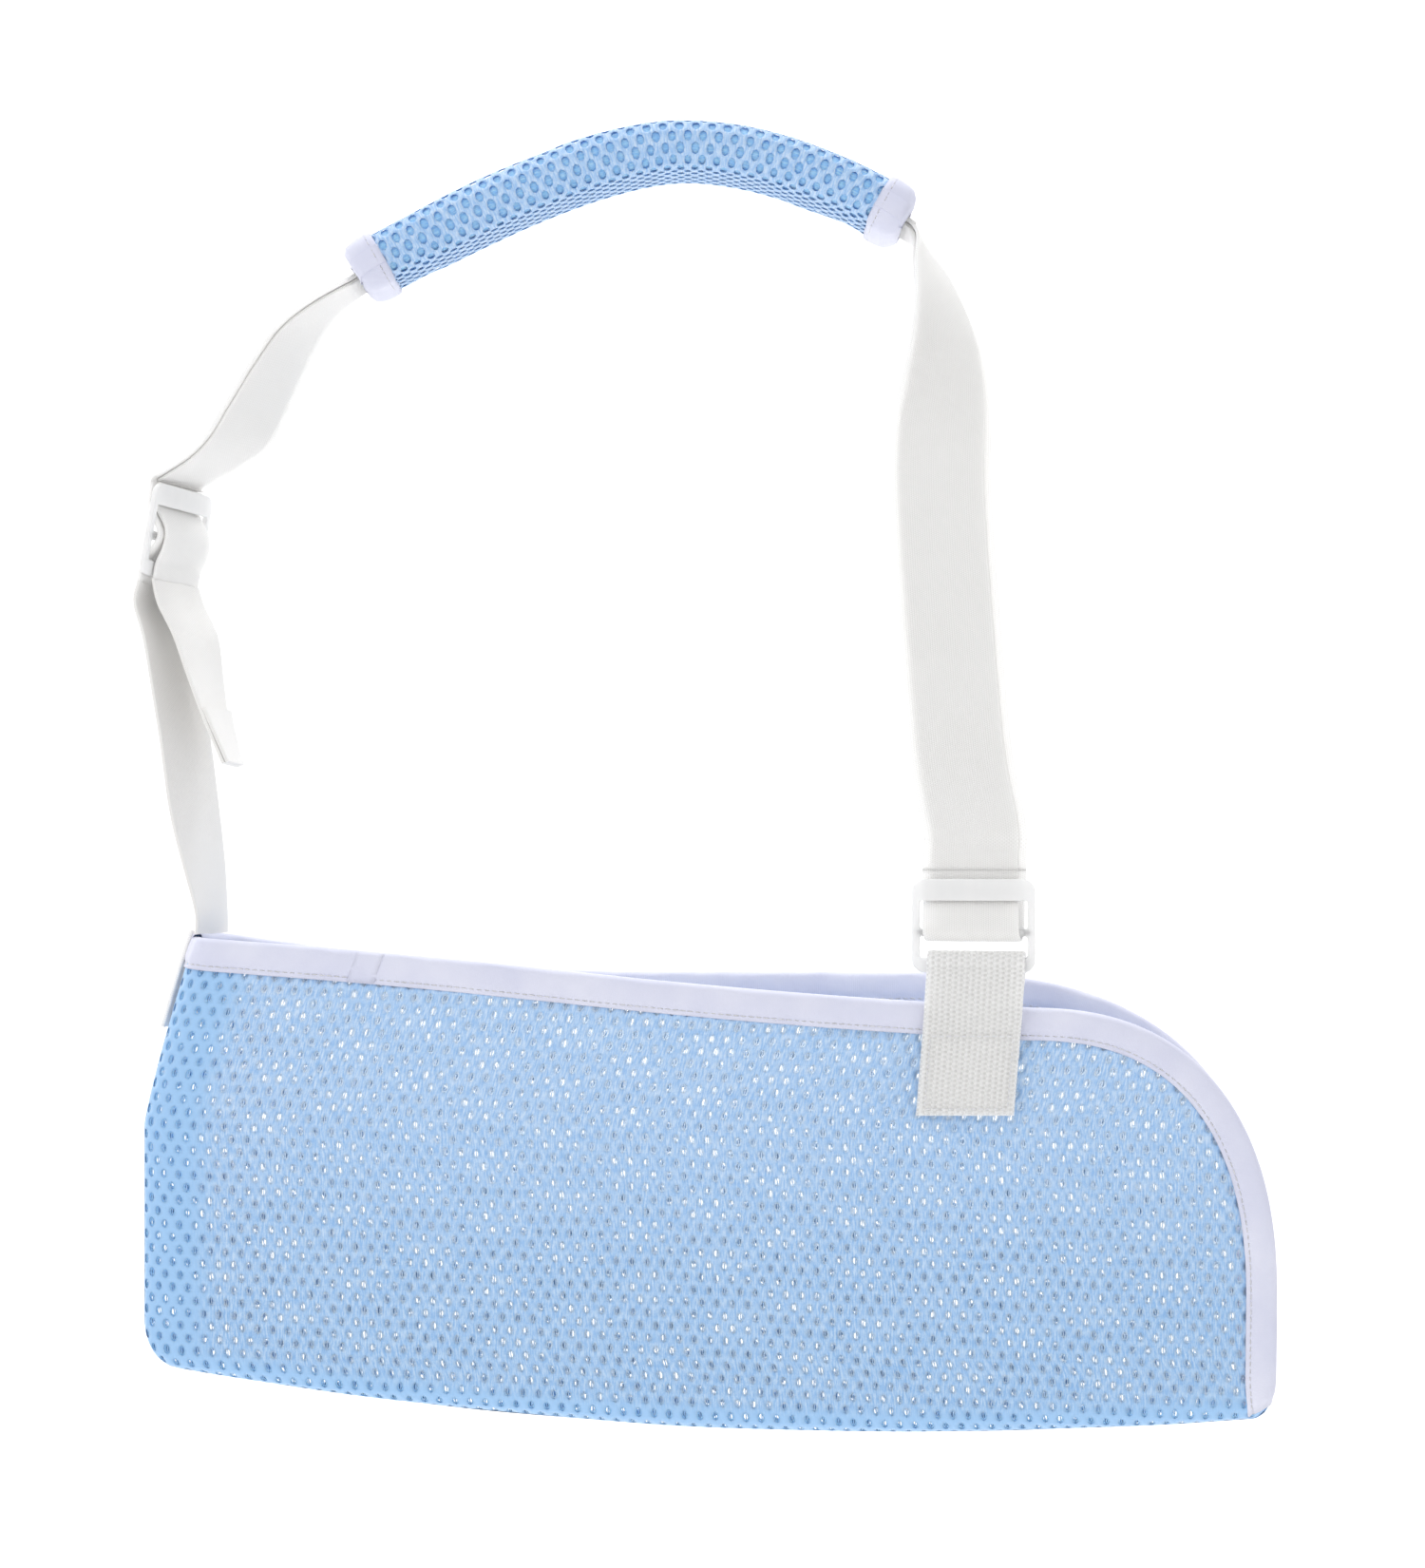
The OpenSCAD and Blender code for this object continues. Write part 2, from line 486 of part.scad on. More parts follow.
// A box of stitches round the part of the loop that lies on the panel
thread_r = 0.35;
module stitch(a, b) {
    d = b - a;
    translate(a) rotate([0, acos(d[2] / norm(d)), atan2(d[1], d[0])])
        cylinder(h = norm(d), r = thread_r, $fn = 16);
}
module front_loop_stitching() {
    off = loop_t / 2 + thread_r + 0.15;
    low = loop_ply(1)[4];
    top = loop_ply(1)[1];
    function spot(x, t) = loop_top
        + [x + lerp(top[2], low[2], t), lerp(top[0], low[0], t) - off, lerp(top[1], low[1], t)];
    half = loop_w / 2 - 3;
    color(thread_white) {
        for (t = [0.05, 0.92], k = [0 : 7])
            stitch(spot(lerp(-half, half, (k + 0.2) / 8), t), spot(lerp(-half, half, (k + 0.8) / 8), t));
        for (x = [-half, half], k = [0 : 7])
            stitch(spot(x, lerp(0.08, 0.9, (k + 0.2) / 8)), spot(x, lerp(0.08, 0.9, (k + 0.8) / 8)));
    }
}

// The strap's lower end, stitched round the outside of the elbow
anchor_lap = mesh_t / 2 + binding_gap + binding_t + 0.3;
anchor_top_z = elbow_anchor[2];
anchor_foot_z = -342;
wrap_steps = 10;
function elbow_wrap(k) = 21 * pow(k / wrap_steps, 2.2);
module strap_end_on_elbow() {
    function skin(d) = [for (k = [1 : wrap_steps]) [for (j = [0 : 4])
        let(s = elbow_wrap(k), z = lerp(anchor_foot_z, min(anchor_top_z, rim_z(1, s) + 1.5), j / 4))
        off_panel(1, s, z, d)]];
    color(webbing_white) shell(skin(anchor_lap + strap_t), skin(anchor_lap));
}
module strap_end_stitching() {
    d = anchor_lap + strap_t + thread_r + 0.2;
    function spot(k, z) = off_panel(1, elbow_wrap(k), z, d);
    color(thread_white) for (z = [-311, -325, -338], k = [4 : wrap_steps - 1])
        stitch(lerp(spot(k, z), spot(k + 1, z), 0.2), lerp(spot(k, z), spot(k + 1, z), 0.8));
}

neck_pad_mesh();
neck_pad_filling();
neck_pad_binding_elbow_side();
neck_pad_binding_hand_side();
strap_pad_run_outer();
strap_pad_run_inner();
strap_hand_run_front();
strap_hand_run_return();
strap_elbow_run_outer();
strap_elbow_run_inner();
strap_elbow_run_single();
front_slider();
strap_fold_at_front_slider();
rear_slider();
strap_pass_at_rear_slider();
strap_tail();
strap_tail_hem();
pouch_front_panel();
pouch_back_panel();
rim_binding_front();
rim_binding_back();
front_loop();
front_loop_stitching();
strap_end_on_elbow();
strap_end_stitching();
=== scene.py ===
"""Arm sling: the visual model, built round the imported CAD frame.

Lengths are in millimetres until a mesh or a modifier is made, and angles are in degrees.
"""
import math
import random

import bmesh
import bpy
import numpy as np
from mathutils import Matrix, Vector
from mathutils.kdtree import KDTree


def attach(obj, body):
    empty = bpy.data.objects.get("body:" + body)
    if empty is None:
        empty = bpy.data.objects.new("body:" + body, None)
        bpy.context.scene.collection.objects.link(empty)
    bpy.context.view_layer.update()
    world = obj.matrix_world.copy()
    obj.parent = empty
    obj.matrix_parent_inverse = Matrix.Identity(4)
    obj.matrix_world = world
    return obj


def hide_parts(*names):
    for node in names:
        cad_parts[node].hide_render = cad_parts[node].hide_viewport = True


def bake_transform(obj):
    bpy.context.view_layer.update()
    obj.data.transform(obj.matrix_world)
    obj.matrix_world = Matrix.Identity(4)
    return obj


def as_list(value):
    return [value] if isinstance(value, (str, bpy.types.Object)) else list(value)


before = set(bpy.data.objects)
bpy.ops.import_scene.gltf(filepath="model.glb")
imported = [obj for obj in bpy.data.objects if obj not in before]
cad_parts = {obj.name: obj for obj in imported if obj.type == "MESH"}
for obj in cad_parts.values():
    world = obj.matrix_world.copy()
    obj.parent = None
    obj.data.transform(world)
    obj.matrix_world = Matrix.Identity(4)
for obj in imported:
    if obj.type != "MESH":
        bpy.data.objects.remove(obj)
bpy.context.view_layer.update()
MM = 0.001

# ---- sizes, as in the CAD model
STRAP_W, STRAP_T = 38.0, 1.6
LAYER_PITCH, LAYER_SHIFT = 1.8, 1.5
LOOP_W, LOOP_T = 38.6, 2.0
MESH_T, TAPE_T, TAPE_W = 3.0, 0.8, 11.5
PAD_W, PAD_H = 56.0, 20.0
SLIDER_W, SLIDER_H, SLIDER_T = 48.6, 37.0, 2.4
TOP_BAR_H, BOTTOM_BAR_H = 8.6, 6.0
MIDDLE_BAR_Z, MIDDLE_BAR_R = -2.6, 1.9
BOTTOM_BAR_Z = -SLIDER_H / 2 + BOTTOM_BAR_H / 2
FRONT_YAW, REAR_YAW, REAR_LEAN = -8.0, 70.0, 10.0
FRONT_AT = np.array([117.5, -31.5, -299.4])
REAR_AT = np.array([-201.5, 8.0, -143.0])
REACH, SHORT_REACH = 22.0, 19.0     # how far the strap's bent piece runs past a slider's middle
BEHIND = 3.3                        # the strap's middle line behind a slider's
NEAR_LAYER, FAR_LAYER = BEHIND - LAYER_PITCH / 2, BEHIND + LAYER_PITCH / 2

# ---- small maths


def lerp(a, b, t):
    return a + (b - a) * t


def unit(v):
    return v / np.linalg.norm(v, axis=-1, keepdims=True)


def clamp01(t):
    return np.clip(t, 0.0, 1.0)


def round_in(t, p=2.0):
    """Rises from 0 to 1 like a quarter of a circle (p = 2) or of a blunter superellipse."""
    return (1 - (1 - clamp01(t)) ** p) ** (1 / p)


def rotated(v, a, i, j):
    """Points turned by the angle a, from the axis i towards the axis j."""
    c, s = math.cos(math.radians(a)), math.sin(math.radians(a))
    v = np.array(v, float)
    v[..., i], v[..., j] = v[..., i] * c - v[..., j] * s, v[..., i] * s + v[..., j] * c
    return v


def placed(v, at, lean, yaw):
    """Points of a slider's own frame (X width, -Y front, Z up), placed in the sling."""
    return np.asarray(at) + rotated(rotated(v, yaw, 0, 1), lean, 2, 0)


def smooth(points, steps):
    """A Catmull-Rom curve through rows of values, with that many steps between two rows."""
    p = np.asarray(points, float)
    last = len(p) - 1
    rows = []
    for i in range(last):
        a, b, c, d = p[max(i - 1, 0)], p[i], p[i + 1], p[min(i + 2, last)]
        for k in range(steps):
            t = k / steps
            rows.append(0.5 * (2 * b + (c - a) * t + (2 * a - 5 * b + 4 * c - d) * t * t
                               + (3 * b - a - 3 * c + d) * t ** 3))
    return np.array(rows + [p[last]])


def frames(route):
    """Ahead, across and out directions of a route of [x, y, z, yaw]. Out is away from the neck."""
    p = route[:, :3]
    ahead = unit(np.gradient(p, axis=0))
    yaw = np.radians(route[:, 3])
    w = np.stack([np.cos(yaw), np.sin(yaw), np.zeros_like(yaw)], -1)
    across = unit(w - (w * ahead).sum(-1, keepdims=True) * ahead)
    return ahead, across, np.cross(ahead, across)


def along(points):
    """How far along a line each of its points is."""
    return np.concatenate([[0], np.cumsum(np.linalg.norm(np.diff(points, axis=0), axis=1))])


def at_length(rows, s, x):
    """The values of the rows at the length x, where s says how far along each row is."""
    return np.stack([np.interp(x, s, c) for c in rows.T], -1)


def evenly(route, step):
    """The same route with its rows about one step apart."""
    s = along(route[:, :3])
    t = np.linspace(0, s[-1], max(2, int(round(s[-1] / step)) + 1))
    return at_length(route, s, t)


# ---- making objects


def add_object(name, data):
    """A new object in the scene."""
    obj = bpy.data.objects.new(name, data)
    bpy.context.scene.collection.objects.link(obj)
    return obj


def make_object(name, points, faces, material, uvs=None):
    """A smooth mesh object from points in mm and index lists. uvs holds one pair for each point."""
    mesh = bpy.data.meshes.new(name)
    mesh.from_pydata((np.asarray(points, float) * MM).tolist(), [], faces)
    mesh.validate()
    if uvs is not None:
        layer = mesh.uv_layers.new(name="cloth")
        loops = np.zeros(len(mesh.loops), np.int32)
        mesh.loops.foreach_get("vertex_index", loops)
        layer.data.foreach_set("uv", (np.asarray(uvs, float)[loops] * MM).astype(np.float32).ravel())
    mesh.polygons.foreach_set("use_smooth", [True] * len(mesh.polygons))
    mesh.materials.append(material)
    return add_object(name, mesh)


def thicken(obj, thickness, offset=0):
    """Gives an open skin a thickness in mm."""
    solid = obj.modifiers.new("thickness", "SOLIDIFY")
    solid.thickness = thickness * MM
    solid.offset = offset


def evaluated_mesh(obj):
    """A mesh of the object with its modifiers or its curve's bevel applied."""
    bpy.context.view_layer.update()
    return bpy.data.meshes.new_from_object(obj.evaluated_get(bpy.context.evaluated_depsgraph_get()))


def open_skin(name, rings, material, uvs, thickness, nodes=()):
    """A piece of the pouch made of an open skin with a thickness in mm."""
    obj = loft(name, rings, material, uvs, closed_ring=False)
    thicken(obj, thickness)
    finish_piece(obj, "pouch", nodes)


def grid_uvs(across, ahead):
    """One pair for each point of a loft: across varies along a ring, ahead from ring to ring."""
    return np.stack(np.meshgrid(across, ahead), -1)


def finish_piece(obj, body, nodes=()):
    """Hides the CAD parts named by nodes and parents the piece to its body. body is a body, or (body, body,
    start, end), whose bodies and ends are not used: such a piece is only baked where it stands.
    """
    if nodes:
        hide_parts(*nodes)
    if isinstance(body, tuple):
        first, second, start, end = body
        tuple(np.array(start) * MM)
        tuple(np.array(end) * MM)
        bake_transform(obj)
    else:
        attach(obj, body)


SHARP_ANGLE = 55        # edges that turn by more than this are shaded as corners


def skin(n, m, base=0, closed_ring=True, caps=True):
    """The faces over n rings of m points each, numbered from base on. Rings close on themselves, and
    ends are capped."""
    faces = [(i + k, i + (k + 1) % m, i + m + (k + 1) % m, i + m + k)
             for i in range(base, base + (n - 1) * m, m) for k in range(m if closed_ring else m - 1)]
    if caps and closed_ring:
        last = base + (n - 1) * m
        faces += [tuple(range(base + m - 1, base - 1, -1)), tuple(range(last, last + m))]
    return faces


def loft(name, rings, material, uvs=None, closed_ring=True, caps=True):
    """A skin over an array of rings."""
    rings = np.asarray(rings, float)
    faces = skin(*rings.shape[:2], 0, closed_ring, caps)
    flat_uvs = None if uvs is None else np.asarray(uvs, float).reshape(-1, 2)
    obj = make_object(name, rings.reshape(-1, 3), faces, material, flat_uvs)
    obj.data.set_sharp_from_angle(angle=math.radians(SHARP_ANGLE))
    return obj


def fix_normals(obj):
    """Turns every face of a closed mesh outwards."""
    bm = bmesh.new()
    bm.from_mesh(obj.data)
    bmesh.ops.recalc_face_normals(bm, faces=bm.faces)
    bm.to_mesh(obj.data)
    bm.free()
    return obj


SELVEDGE_R = 0.9
WEBBING_STEP, BEND_STEP = 2.0, 0.8       # the length of one row of faces, on a straight run and on a bend
WOBBLE, CUP = 0.25, 0.35                 # how far a run's edges wave, and how far its faces cup
SWAY_EASE = 25                           # over this length the wobble dies out towards a run's ends


def webbing_section(w, t):
    """The outline of a webbing's cross-section: flat faces, with rounded selvedges a little thinner."""
    side = [(0.5 * w - SELVEDGE_R * (1 - math.cos(a)), 0.5 * t * math.sin(a)) for a in
            np.radians([-90, -60, -30, 0, 30, 60, 90])]
    face = [(x * w, 0.5 * t) for x in (0.42, 0.3, 0.15, 0.0, -0.15, -0.3, -0.42)]
    right = side + face
    return np.array(right + [(-x, -z) for x, z in right])


def webbing(name, route, material, body, nodes=(), shift=0.0, lift=0.0, wobble=WOBBLE, keep=slice(None)):
    """A flat woven strap swept along a route of [x, y, z, yaw], with a slight wobble in its lie.
    keep says which part of the route to make."""
    route = evenly(np.asarray(route, float), WEBBING_STEP)
    _, across, out = frames(route)
    s = along(route[:, :3])
    x, z = webbing_section(STRAP_W, STRAP_T).T
    ease = clamp01(np.minimum(s, s[-1] - s) / SWAY_EASE)
    sway = wobble * ease * (np.sin(s / 17.0 + 1.3) + 0.6 * np.sin(s / 9.1))
    cup = CUP * ease * np.sin(s / 41.0)
    bow = cup[:, None] * ((x / (STRAP_W / 2)) ** 2 - 0.4) + sway[:, None] * x / STRAP_W
    rings = (route[:, None, :3] + (x + shift)[:, None] * across[:, None]
             + (z + lift + bow)[..., None] * out[:, None])
    obj = fix_normals(loft(name, rings[keep], material, grid_uvs(x, s)[keep]))
    finish_piece(obj, body, nodes)


def bent_webbing(name, profile, at, lean, yaw, material, body, nodes=(), w=STRAP_W,
                 t=STRAP_T):
    """A webbing bent round a slider's bars: rows of [depth, height, sideways, turn]."""
    depth, height, sideways, turn = smooth(profile, 3).T
    line = evenly(np.column_stack([depth, height, 0 * depth, sideways, turn]), BEND_STEP)
    d = unit(np.gradient(line[:, :2], axis=0))
    section = webbing_section(w, t)
    rings = []
    for spot, (dx, dz) in zip(line, d):
        middle = spot[:2] + section[:, 1:] * np.array([-dz, dx])
        local = np.column_stack([section[:, 0] + spot[3], middle])
        rings.append(placed(rotated(local, spot[4], 0, 1), at, lean, yaw))
    obj = fix_normals(loft(name, rings, material, grid_uvs(section[:, 0], along(line[:, :2]))))
    finish_piece(obj, body, nodes)


def stitches(name, ends, body, r, nodes=()):
    """Short threads, each from one point to another, dipping into the cloth at both ends."""
    points, faces = [], []
    shape = ((0, -0.35, 0.55), (0.18, 0.1, 1), (0.5, 0.25, 1.1), (0.82, 0.1, 1), (1, -0.35, 0.55))
    for a, b, up in ends:
        a, b, up = np.asarray(a, float), np.asarray(b, float), unit(np.asarray(up, float))
        side = np.cross(unit(b - a), up)
        faces += skin(len(shape), 6, len(points))
        for t, lift, fat in shape:
            centre = lerp(a, b, t) + up * lift * r * 1.6
            points += [centre + fat * r * (math.cos(ang) * side + math.sin(ang) * up)
                       for ang in np.linspace(0, 2 * math.pi, 6, endpoint=False)]
    obj = fix_normals(make_object(name, points, faces, thread))
    finish_piece(obj, body, nodes)


# ---- materials


class Nodes:
    """Short-hand for building a material's node tree. Where a value is wanted, a node's output can be
    given too, and an underscore in an input's name stands for a space."""

    def __init__(self, name, colour, roughness):
        self.material = bpy.data.materials.new(name)
        self.material.use_nodes = True
        self.tree = self.material.node_tree
        self.shader = self.tree.nodes["Principled BSDF"]
        self.set(Base_Color=colour, Roughness=roughness)

    def put(self, socket, value):
        if isinstance(value, bpy.types.NodeSocket):
            self.tree.links.new(value, socket)
        else:
            socket.default_value = (*value, 1) if socket.type == "RGBA" and len(value) == 3 else value

    def set(self, **values):
        for key, value in values.items():
            self.put(self.shader.inputs[key.replace("_", " ")], value)

    def scatter(self, weight, scale):
        """Lets light pass through, all colours alike, for a length of scale in metres."""
        self.set(Subsurface_Weight=weight, Subsurface_Scale=scale, Subsurface_Radius=(1.0, 1.0, 1.0))

    def add(self, kind, settings=None, **inputs):
        node = self.tree.nodes.new("ShaderNode" + kind)
        for key, value in (settings or {}).items():
            setattr(node, key, value)
        for key, value in inputs.items():
            self.put(node.inputs[key.replace("_", " ")], value)
        return node

    def coords(self, kind, scale=(1.0, 1.0, 1.0)):
        source = self.add("TexCoord").outputs[kind]
        return self.add("Mapping", Vector=source, Scale=scale).outputs["Vector"]

    def split(self, kind):
        return self.add("SeparateXYZ", Vector=self.coords(kind)).outputs

    def noise(self, vector, scale, detail=2.0, roughness=0.5):
        return self.add("TexNoise", Vector=vector, Scale=scale, Detail=detail,
                        Roughness=roughness).outputs["Fac"]

    def ramp(self, fac, stops):
        node = self.add("ValToRGB", Fac=fac)
        elements = node.color_ramp.elements
        while len(elements) < len(stops):
            elements.new(0.5)
        for element, (at, colour) in zip(elements, stops):
            element.position = at
            element.color = (*colour, 1)
        return node.outputs["Color"]

    def grey(self, fac, low_at, high_at, low, high):
        return self.add("MapRange", Value=fac, From_Min=low_at, From_Max=high_at, To_Min=low,
                        To_Max=high).outputs["Result"]

    def math(self, op, *values):
        node = self.add("Math", {"operation": op})
        for socket, value in zip(node.inputs, values):
            self.put(socket, value)
        return node.outputs["Value"]

    def sum(self, *parts):
        """Adds up outputs, each one times its weight."""
        first, *others = (self.math("MULTIPLY", *part) for part in parts)
        for other in others:
            first = self.math("ADD", first, other)
        return first

    def mix(self, fac, a, b, blend="MIX"):
        node = self.add("Mix", {"data_type": "RGBA", "blend_type": blend})
        for k, value in ((0, fac), (6, a), (7, b)):
            self.put(node.inputs[k], value)
        return node.outputs[2]

    def bump(self, height, strength, distance, **normal):
        return self.add("Bump", Height=height, Strength=strength, Distance=distance,
                        **normal).outputs["Normal"]


def knit_material(name, light, mid, dark, shade, glow=0.0):
    """Knitted mesh yarn: upright wales with brighter filaments, and soft blotches. The attribute
    "fold" turns the yarn towards the shade colour, which is painted shade where the cloth lies folded on
    itself, and glow is how much light passes through the yarn."""
    m = Nodes(name, mid, 0.62)
    wales = m.noise(m.coords("UV", (1.0, 0.17, 1.0)), 1500, 2.0, 0.55)
    grain = m.noise(m.coords("Object"), 1700, 3.0, 0.6)
    blotch = m.noise(m.coords("Object"), 45)
    tone = m.sum((wales, 0.72), (grain, 0.28))
    yarn = m.ramp(tone, [(0.38, dark), (0.5, mid), (0.62, light)])
    colour = m.mix(m.grey(blotch, 0.3, 0.7, 0.0, 0.12), yarn, light)
    # painted shade: the yarn is darkened towards the bottom of the pouch
    painted_bottom_shade = m.grey(m.split("Object")["Z"], -0.5, -0.36, 1.0, 0.0)
    colour = m.mix(painted_bottom_shade, colour, (0.86, 0.92, 0.95), "MULTIPLY")
    # painted shade: the yarn turns towards the shade colour in the elbow fold and along the bottom edge
    fold = m.add("Attribute", {"attribute_name": "fold"})
    m.set(Base_Color=m.mix(fold.outputs["Fac"], colour, shade), Normal=m.bump(tone, 0.4, 0.0003),
          Roughness=m.grey(grain, 0.3, 0.7, 0.5, 0.75), Specular_IOR_Level=0.35,
          Sheen_Weight=0.25, Sheen_Roughness=0.4)
    m.scatter(glow, 0.003)
    return m.material


def tape_material(name, light, mid):
    """Smooth folded binding tape with a fine cross rib and slight fold shading."""
    m = Nodes(name, mid, 0.6)
    rib = m.add("TexWave", {"wave_type": "BANDS", "bands_direction": "Y"}, Vector=m.coords("UV"),
                Scale=420.0, Distortion=1.2, Detail=1.0, Detail_Scale=2.0)
    grain = m.noise(m.coords("Object"), 1300, 3.0)
    blotch = m.noise(m.coords("Object"), 38, 3.0)
    soft = m.bump(grain, 0.35, 0.0002)
    m.set(Base_Color=m.mix(m.grey(blotch, 0.32, 0.68, 0.0, 1.0), mid, light),
          Roughness=m.grey(grain, 0.3, 0.7, 0.5, 0.7), Specular_IOR_Level=0.4,
          Normal=m.bump(rib.outputs["Fac"], 0.25, 0.00015, Normal=soft),
          Sheen_Weight=0.2, Sheen_Roughness=0.35)
    return m.material


def weave_material(name, colours, pitch_across, pitch_along, strength, depth, scatter=0.6):
    """Plain-woven webbing: warp ribs crossed by weft, over and under, with a fibrous surface.
    colours are those of the yarn's top, its middle and the gaps, the top's being painted light and the gaps'
    painted shade, and pitches and depth are in mm."""
    light, mid, dark = colours
    m = Nodes(name, mid, 0.75)
    uv = m.split("UV")
    warp = m.math("SINE", m.math("MULTIPLY", uv["X"], 2 * math.pi / (pitch_across * MM)))
    rib = m.math("FLOOR", m.math("MULTIPLY", uv["X"], 1 / (pitch_across * MM)))
    picks = m.math("MULTIPLY", uv["Y"], 2 * math.pi / (pitch_along * MM))
    weft = m.math("SINE", m.math("ADD", picks, m.math("MULTIPLY", rib, math.pi)))
    fibre = m.noise(m.coords("Object"), 1900, 3.0, 0.6)
    blotch = m.noise(m.coords("Object"), 30)
    relief = m.sum((warp, 0.5), (weft, 0.6), (fibre, 0.7))
    tone = m.grey(relief, -0.7, 1.5, 0.0, 1.0)
    # painted light on the yarn's tops and painted shade in the gaps, following the woven relief
    woven = m.ramp(tone, [(0.12, dark), (0.5, mid), (0.85, light)])
    m.set(Base_Color=m.mix(m.grey(blotch, 0.3, 0.7, 0.0, 0.35), woven, light),
          Roughness=m.grey(fibre, 0.3, 0.7, 0.62, 0.85), Normal=m.bump(relief, strength, depth * MM),
          Sheen_Weight=0.25, Sheen_Roughness=0.5, Specular_IOR_Level=0.3)
    m.scatter(scatter, 0.005)
    return m.material


def nylon_material(name):
    """Translucent natural nylon with faint flow marks and a soft moulded sheen."""
    m = Nodes(name, (0.93, 0.94, 0.95), 0.32)
    flow = m.noise(m.coords("Object", (1.0, 1.0, 0.4)), 160, 3.0)
    m.set(Base_Color=m.ramp(flow, [(0.3, (0.93, 0.935, 0.94)), (0.7, (0.98, 0.98, 0.98))]),
          Roughness=m.grey(flow, 0.3, 0.7, 0.3, 0.42), Normal=m.bump(flow, 0.1, 0.0002),
          Transmission_Weight=0.15, IOR=1.45)
    m.scatter(0.5, 0.004)
    return m.material


# The last colour of each knit is its painted shade for the elbow fold and the bottom edge.
mesh_face = knit_material("mesh_face", (0.56, 0.70, 0.89), (0.39, 0.575, 0.835), (0.28, 0.48, 0.79),
                          (0.34, 0.56, 0.85))
mesh_lining = knit_material("mesh_lining", (0.60, 0.75, 0.92), (0.44, 0.63, 0.87), (0.33, 0.54, 0.83),
                            (0.23, 0.50, 0.93), 0.7)
mesh_core = knit_material("mesh_core", (0.42, 0.68, 0.96), (0.31, 0.59, 0.93), (0.25, 0.52, 0.90),
                          (0.25, 0.52, 0.90), 0.7)
tape = tape_material("binding_tape", (0.72, 0.73, 0.85), (0.64, 0.655, 0.80))
STRAP_WEAVE = (0.9, 0.8, 0.35, 0.12)
strap_cloth = weave_material(
    "strap_webbing", [(0.955, 0.945, 0.93), (0.905, 0.893, 0.875), (0.82, 0.81, 0.785)], *STRAP_WEAVE)
# A darker copy of the strap's webbing, as painted shade: the single run and the tail turn towards the light.
# No light passes through their yarn, because it would leave a dark line where the run is split into two
# pieces.
shaded_strap_cloth = weave_material(
    "strap_webbing_shaded", [(0.875, 0.865, 0.85), (0.83, 0.82, 0.805), (0.75, 0.74, 0.72)], *STRAP_WEAVE,
    scatter=0.0)
loop_cloth = weave_material(
    "loop_webbing", [(0.96, 0.955, 0.945), (0.885, 0.88, 0.87), (0.70, 0.695, 0.68)], 2.3, 1.9, 0.8, 0.45)
thread = weave_material(
    "sewing_thread", [(0.88, 0.88, 0.90), (0.84, 0.84, 0.87), (0.74, 0.74, 0.78)], 0.5, 0.4, 0.3, 0.1)
nylon = nylon_material("slider_nylon")

# ---- the pouch's surface
FRONT, BACK = -1, 1
ELBOW_REACH, HAND_REACH = 211.5, 238.0
POUCH_L = ELBOW_REACH + HAND_REACH
CORNER_START = {FRONT: 350.5, BACK: 309.5}
CORNER_END_Z = -452.0
SEAM_Y, SEAM_GAP = -3.0, 0.2
EDGE_R = 9.0            # the rounding of the bottom edge


def bottom_arc_z(s):
    """The bottom edge's slack arc, before its corners. s runs from the elbow edge to the hand end."""
    return -502.5 + (s - 306) ** 2 / (2 * 1695)


def bottom_z(s):
    return bottom_arc_z(s) + 12 * (1 - round_in(s / 12)) + 8 * (1 - round_in((POUCH_L - s) / 8))


def full_rim_z(side, s):
    """The rim as it would run without its rounded corner."""
    if side == FRONT:
        t = clamp01(s / CORNER_START[FRONT])
        return -306 - 27 * (t - 0.04 * np.sin(2 * math.pi * t))
    return -304.5 - 16.5 * np.sin(math.pi / 2 * clamp01(s / 200))


def rim_z(side, s):
    c, p = CORNER_START[side], 2.4 if side == FRONT else 2.6
    t = clamp01((s - c) / (POUCH_L - c))
    return lerp(CORNER_END_Z, full_rim_z(side, s), (1 - t ** p) ** (1 / p))


def elbow_lean(z):
    """How far the elbow edge leans towards the hand at a height."""
    return 20.5 * clamp01((z + 380) / 76) ** 1.15


def on_panel(side, s, z, low):
    """Points of the panel's middle surface, over a bottom edge at the height low."""
    arc = bottom_arc_z(s)
    up = clamp01((z - arc) / (full_rim_z(side, s) - arc))
    # r is how soon the panel leaves the elbow fold, and full how far it bulges at the top
    r = lerp(24.0, 10.0 if side == FRONT else 14.0, up)
    if side == FRONT:
        full = lerp(7.5, 25.0, round_in(s / 330, 1.6)) - 4 * clamp01((s - 345) / 105) ** 2
    else:
        full = lerp(32.0, 14.0, clamp01(s / POUCH_L))
    depth = (round_in(s / r, 2 if side == FRONT else 1.5)
             * (EDGE_R * round_in((z - low) / EDGE_R) + np.maximum(0, full - EDGE_R) * up ** 0.8))
    lean = elbow_lean(z) * clamp01(1 - s / 200)
    return np.stack([s - ELBOW_REACH + lean, SEAM_Y + side * (SEAM_GAP / 2 + depth), z + 0 * s], -1)


def off_panel(side, s, z, d):
    """Points d outside the panel's middle surface, kept on the panel's side of the seam plane."""
    e = 0.02
    es = np.where(s > POUCH_L - 1, -e, e)
    low = bottom_z(s)
    p = on_panel(side, s, z, low)
    n = unit(np.cross(on_panel(side, s + es, z, low) - p, on_panel(side, s, z + e, low) - p))
    n = n * np.sign(es)[..., None] * (1.0 if side == FRONT else -1.0)
    q = p + np.asarray(d)[..., None] * n
    q[..., 1] = SEAM_Y + side * np.maximum(SEAM_GAP / 2, side * (q[..., 1] - SEAM_Y))
    return q


KNIT_SLOPE = 0.05       # the rows of the knit run down towards the hand end by this much


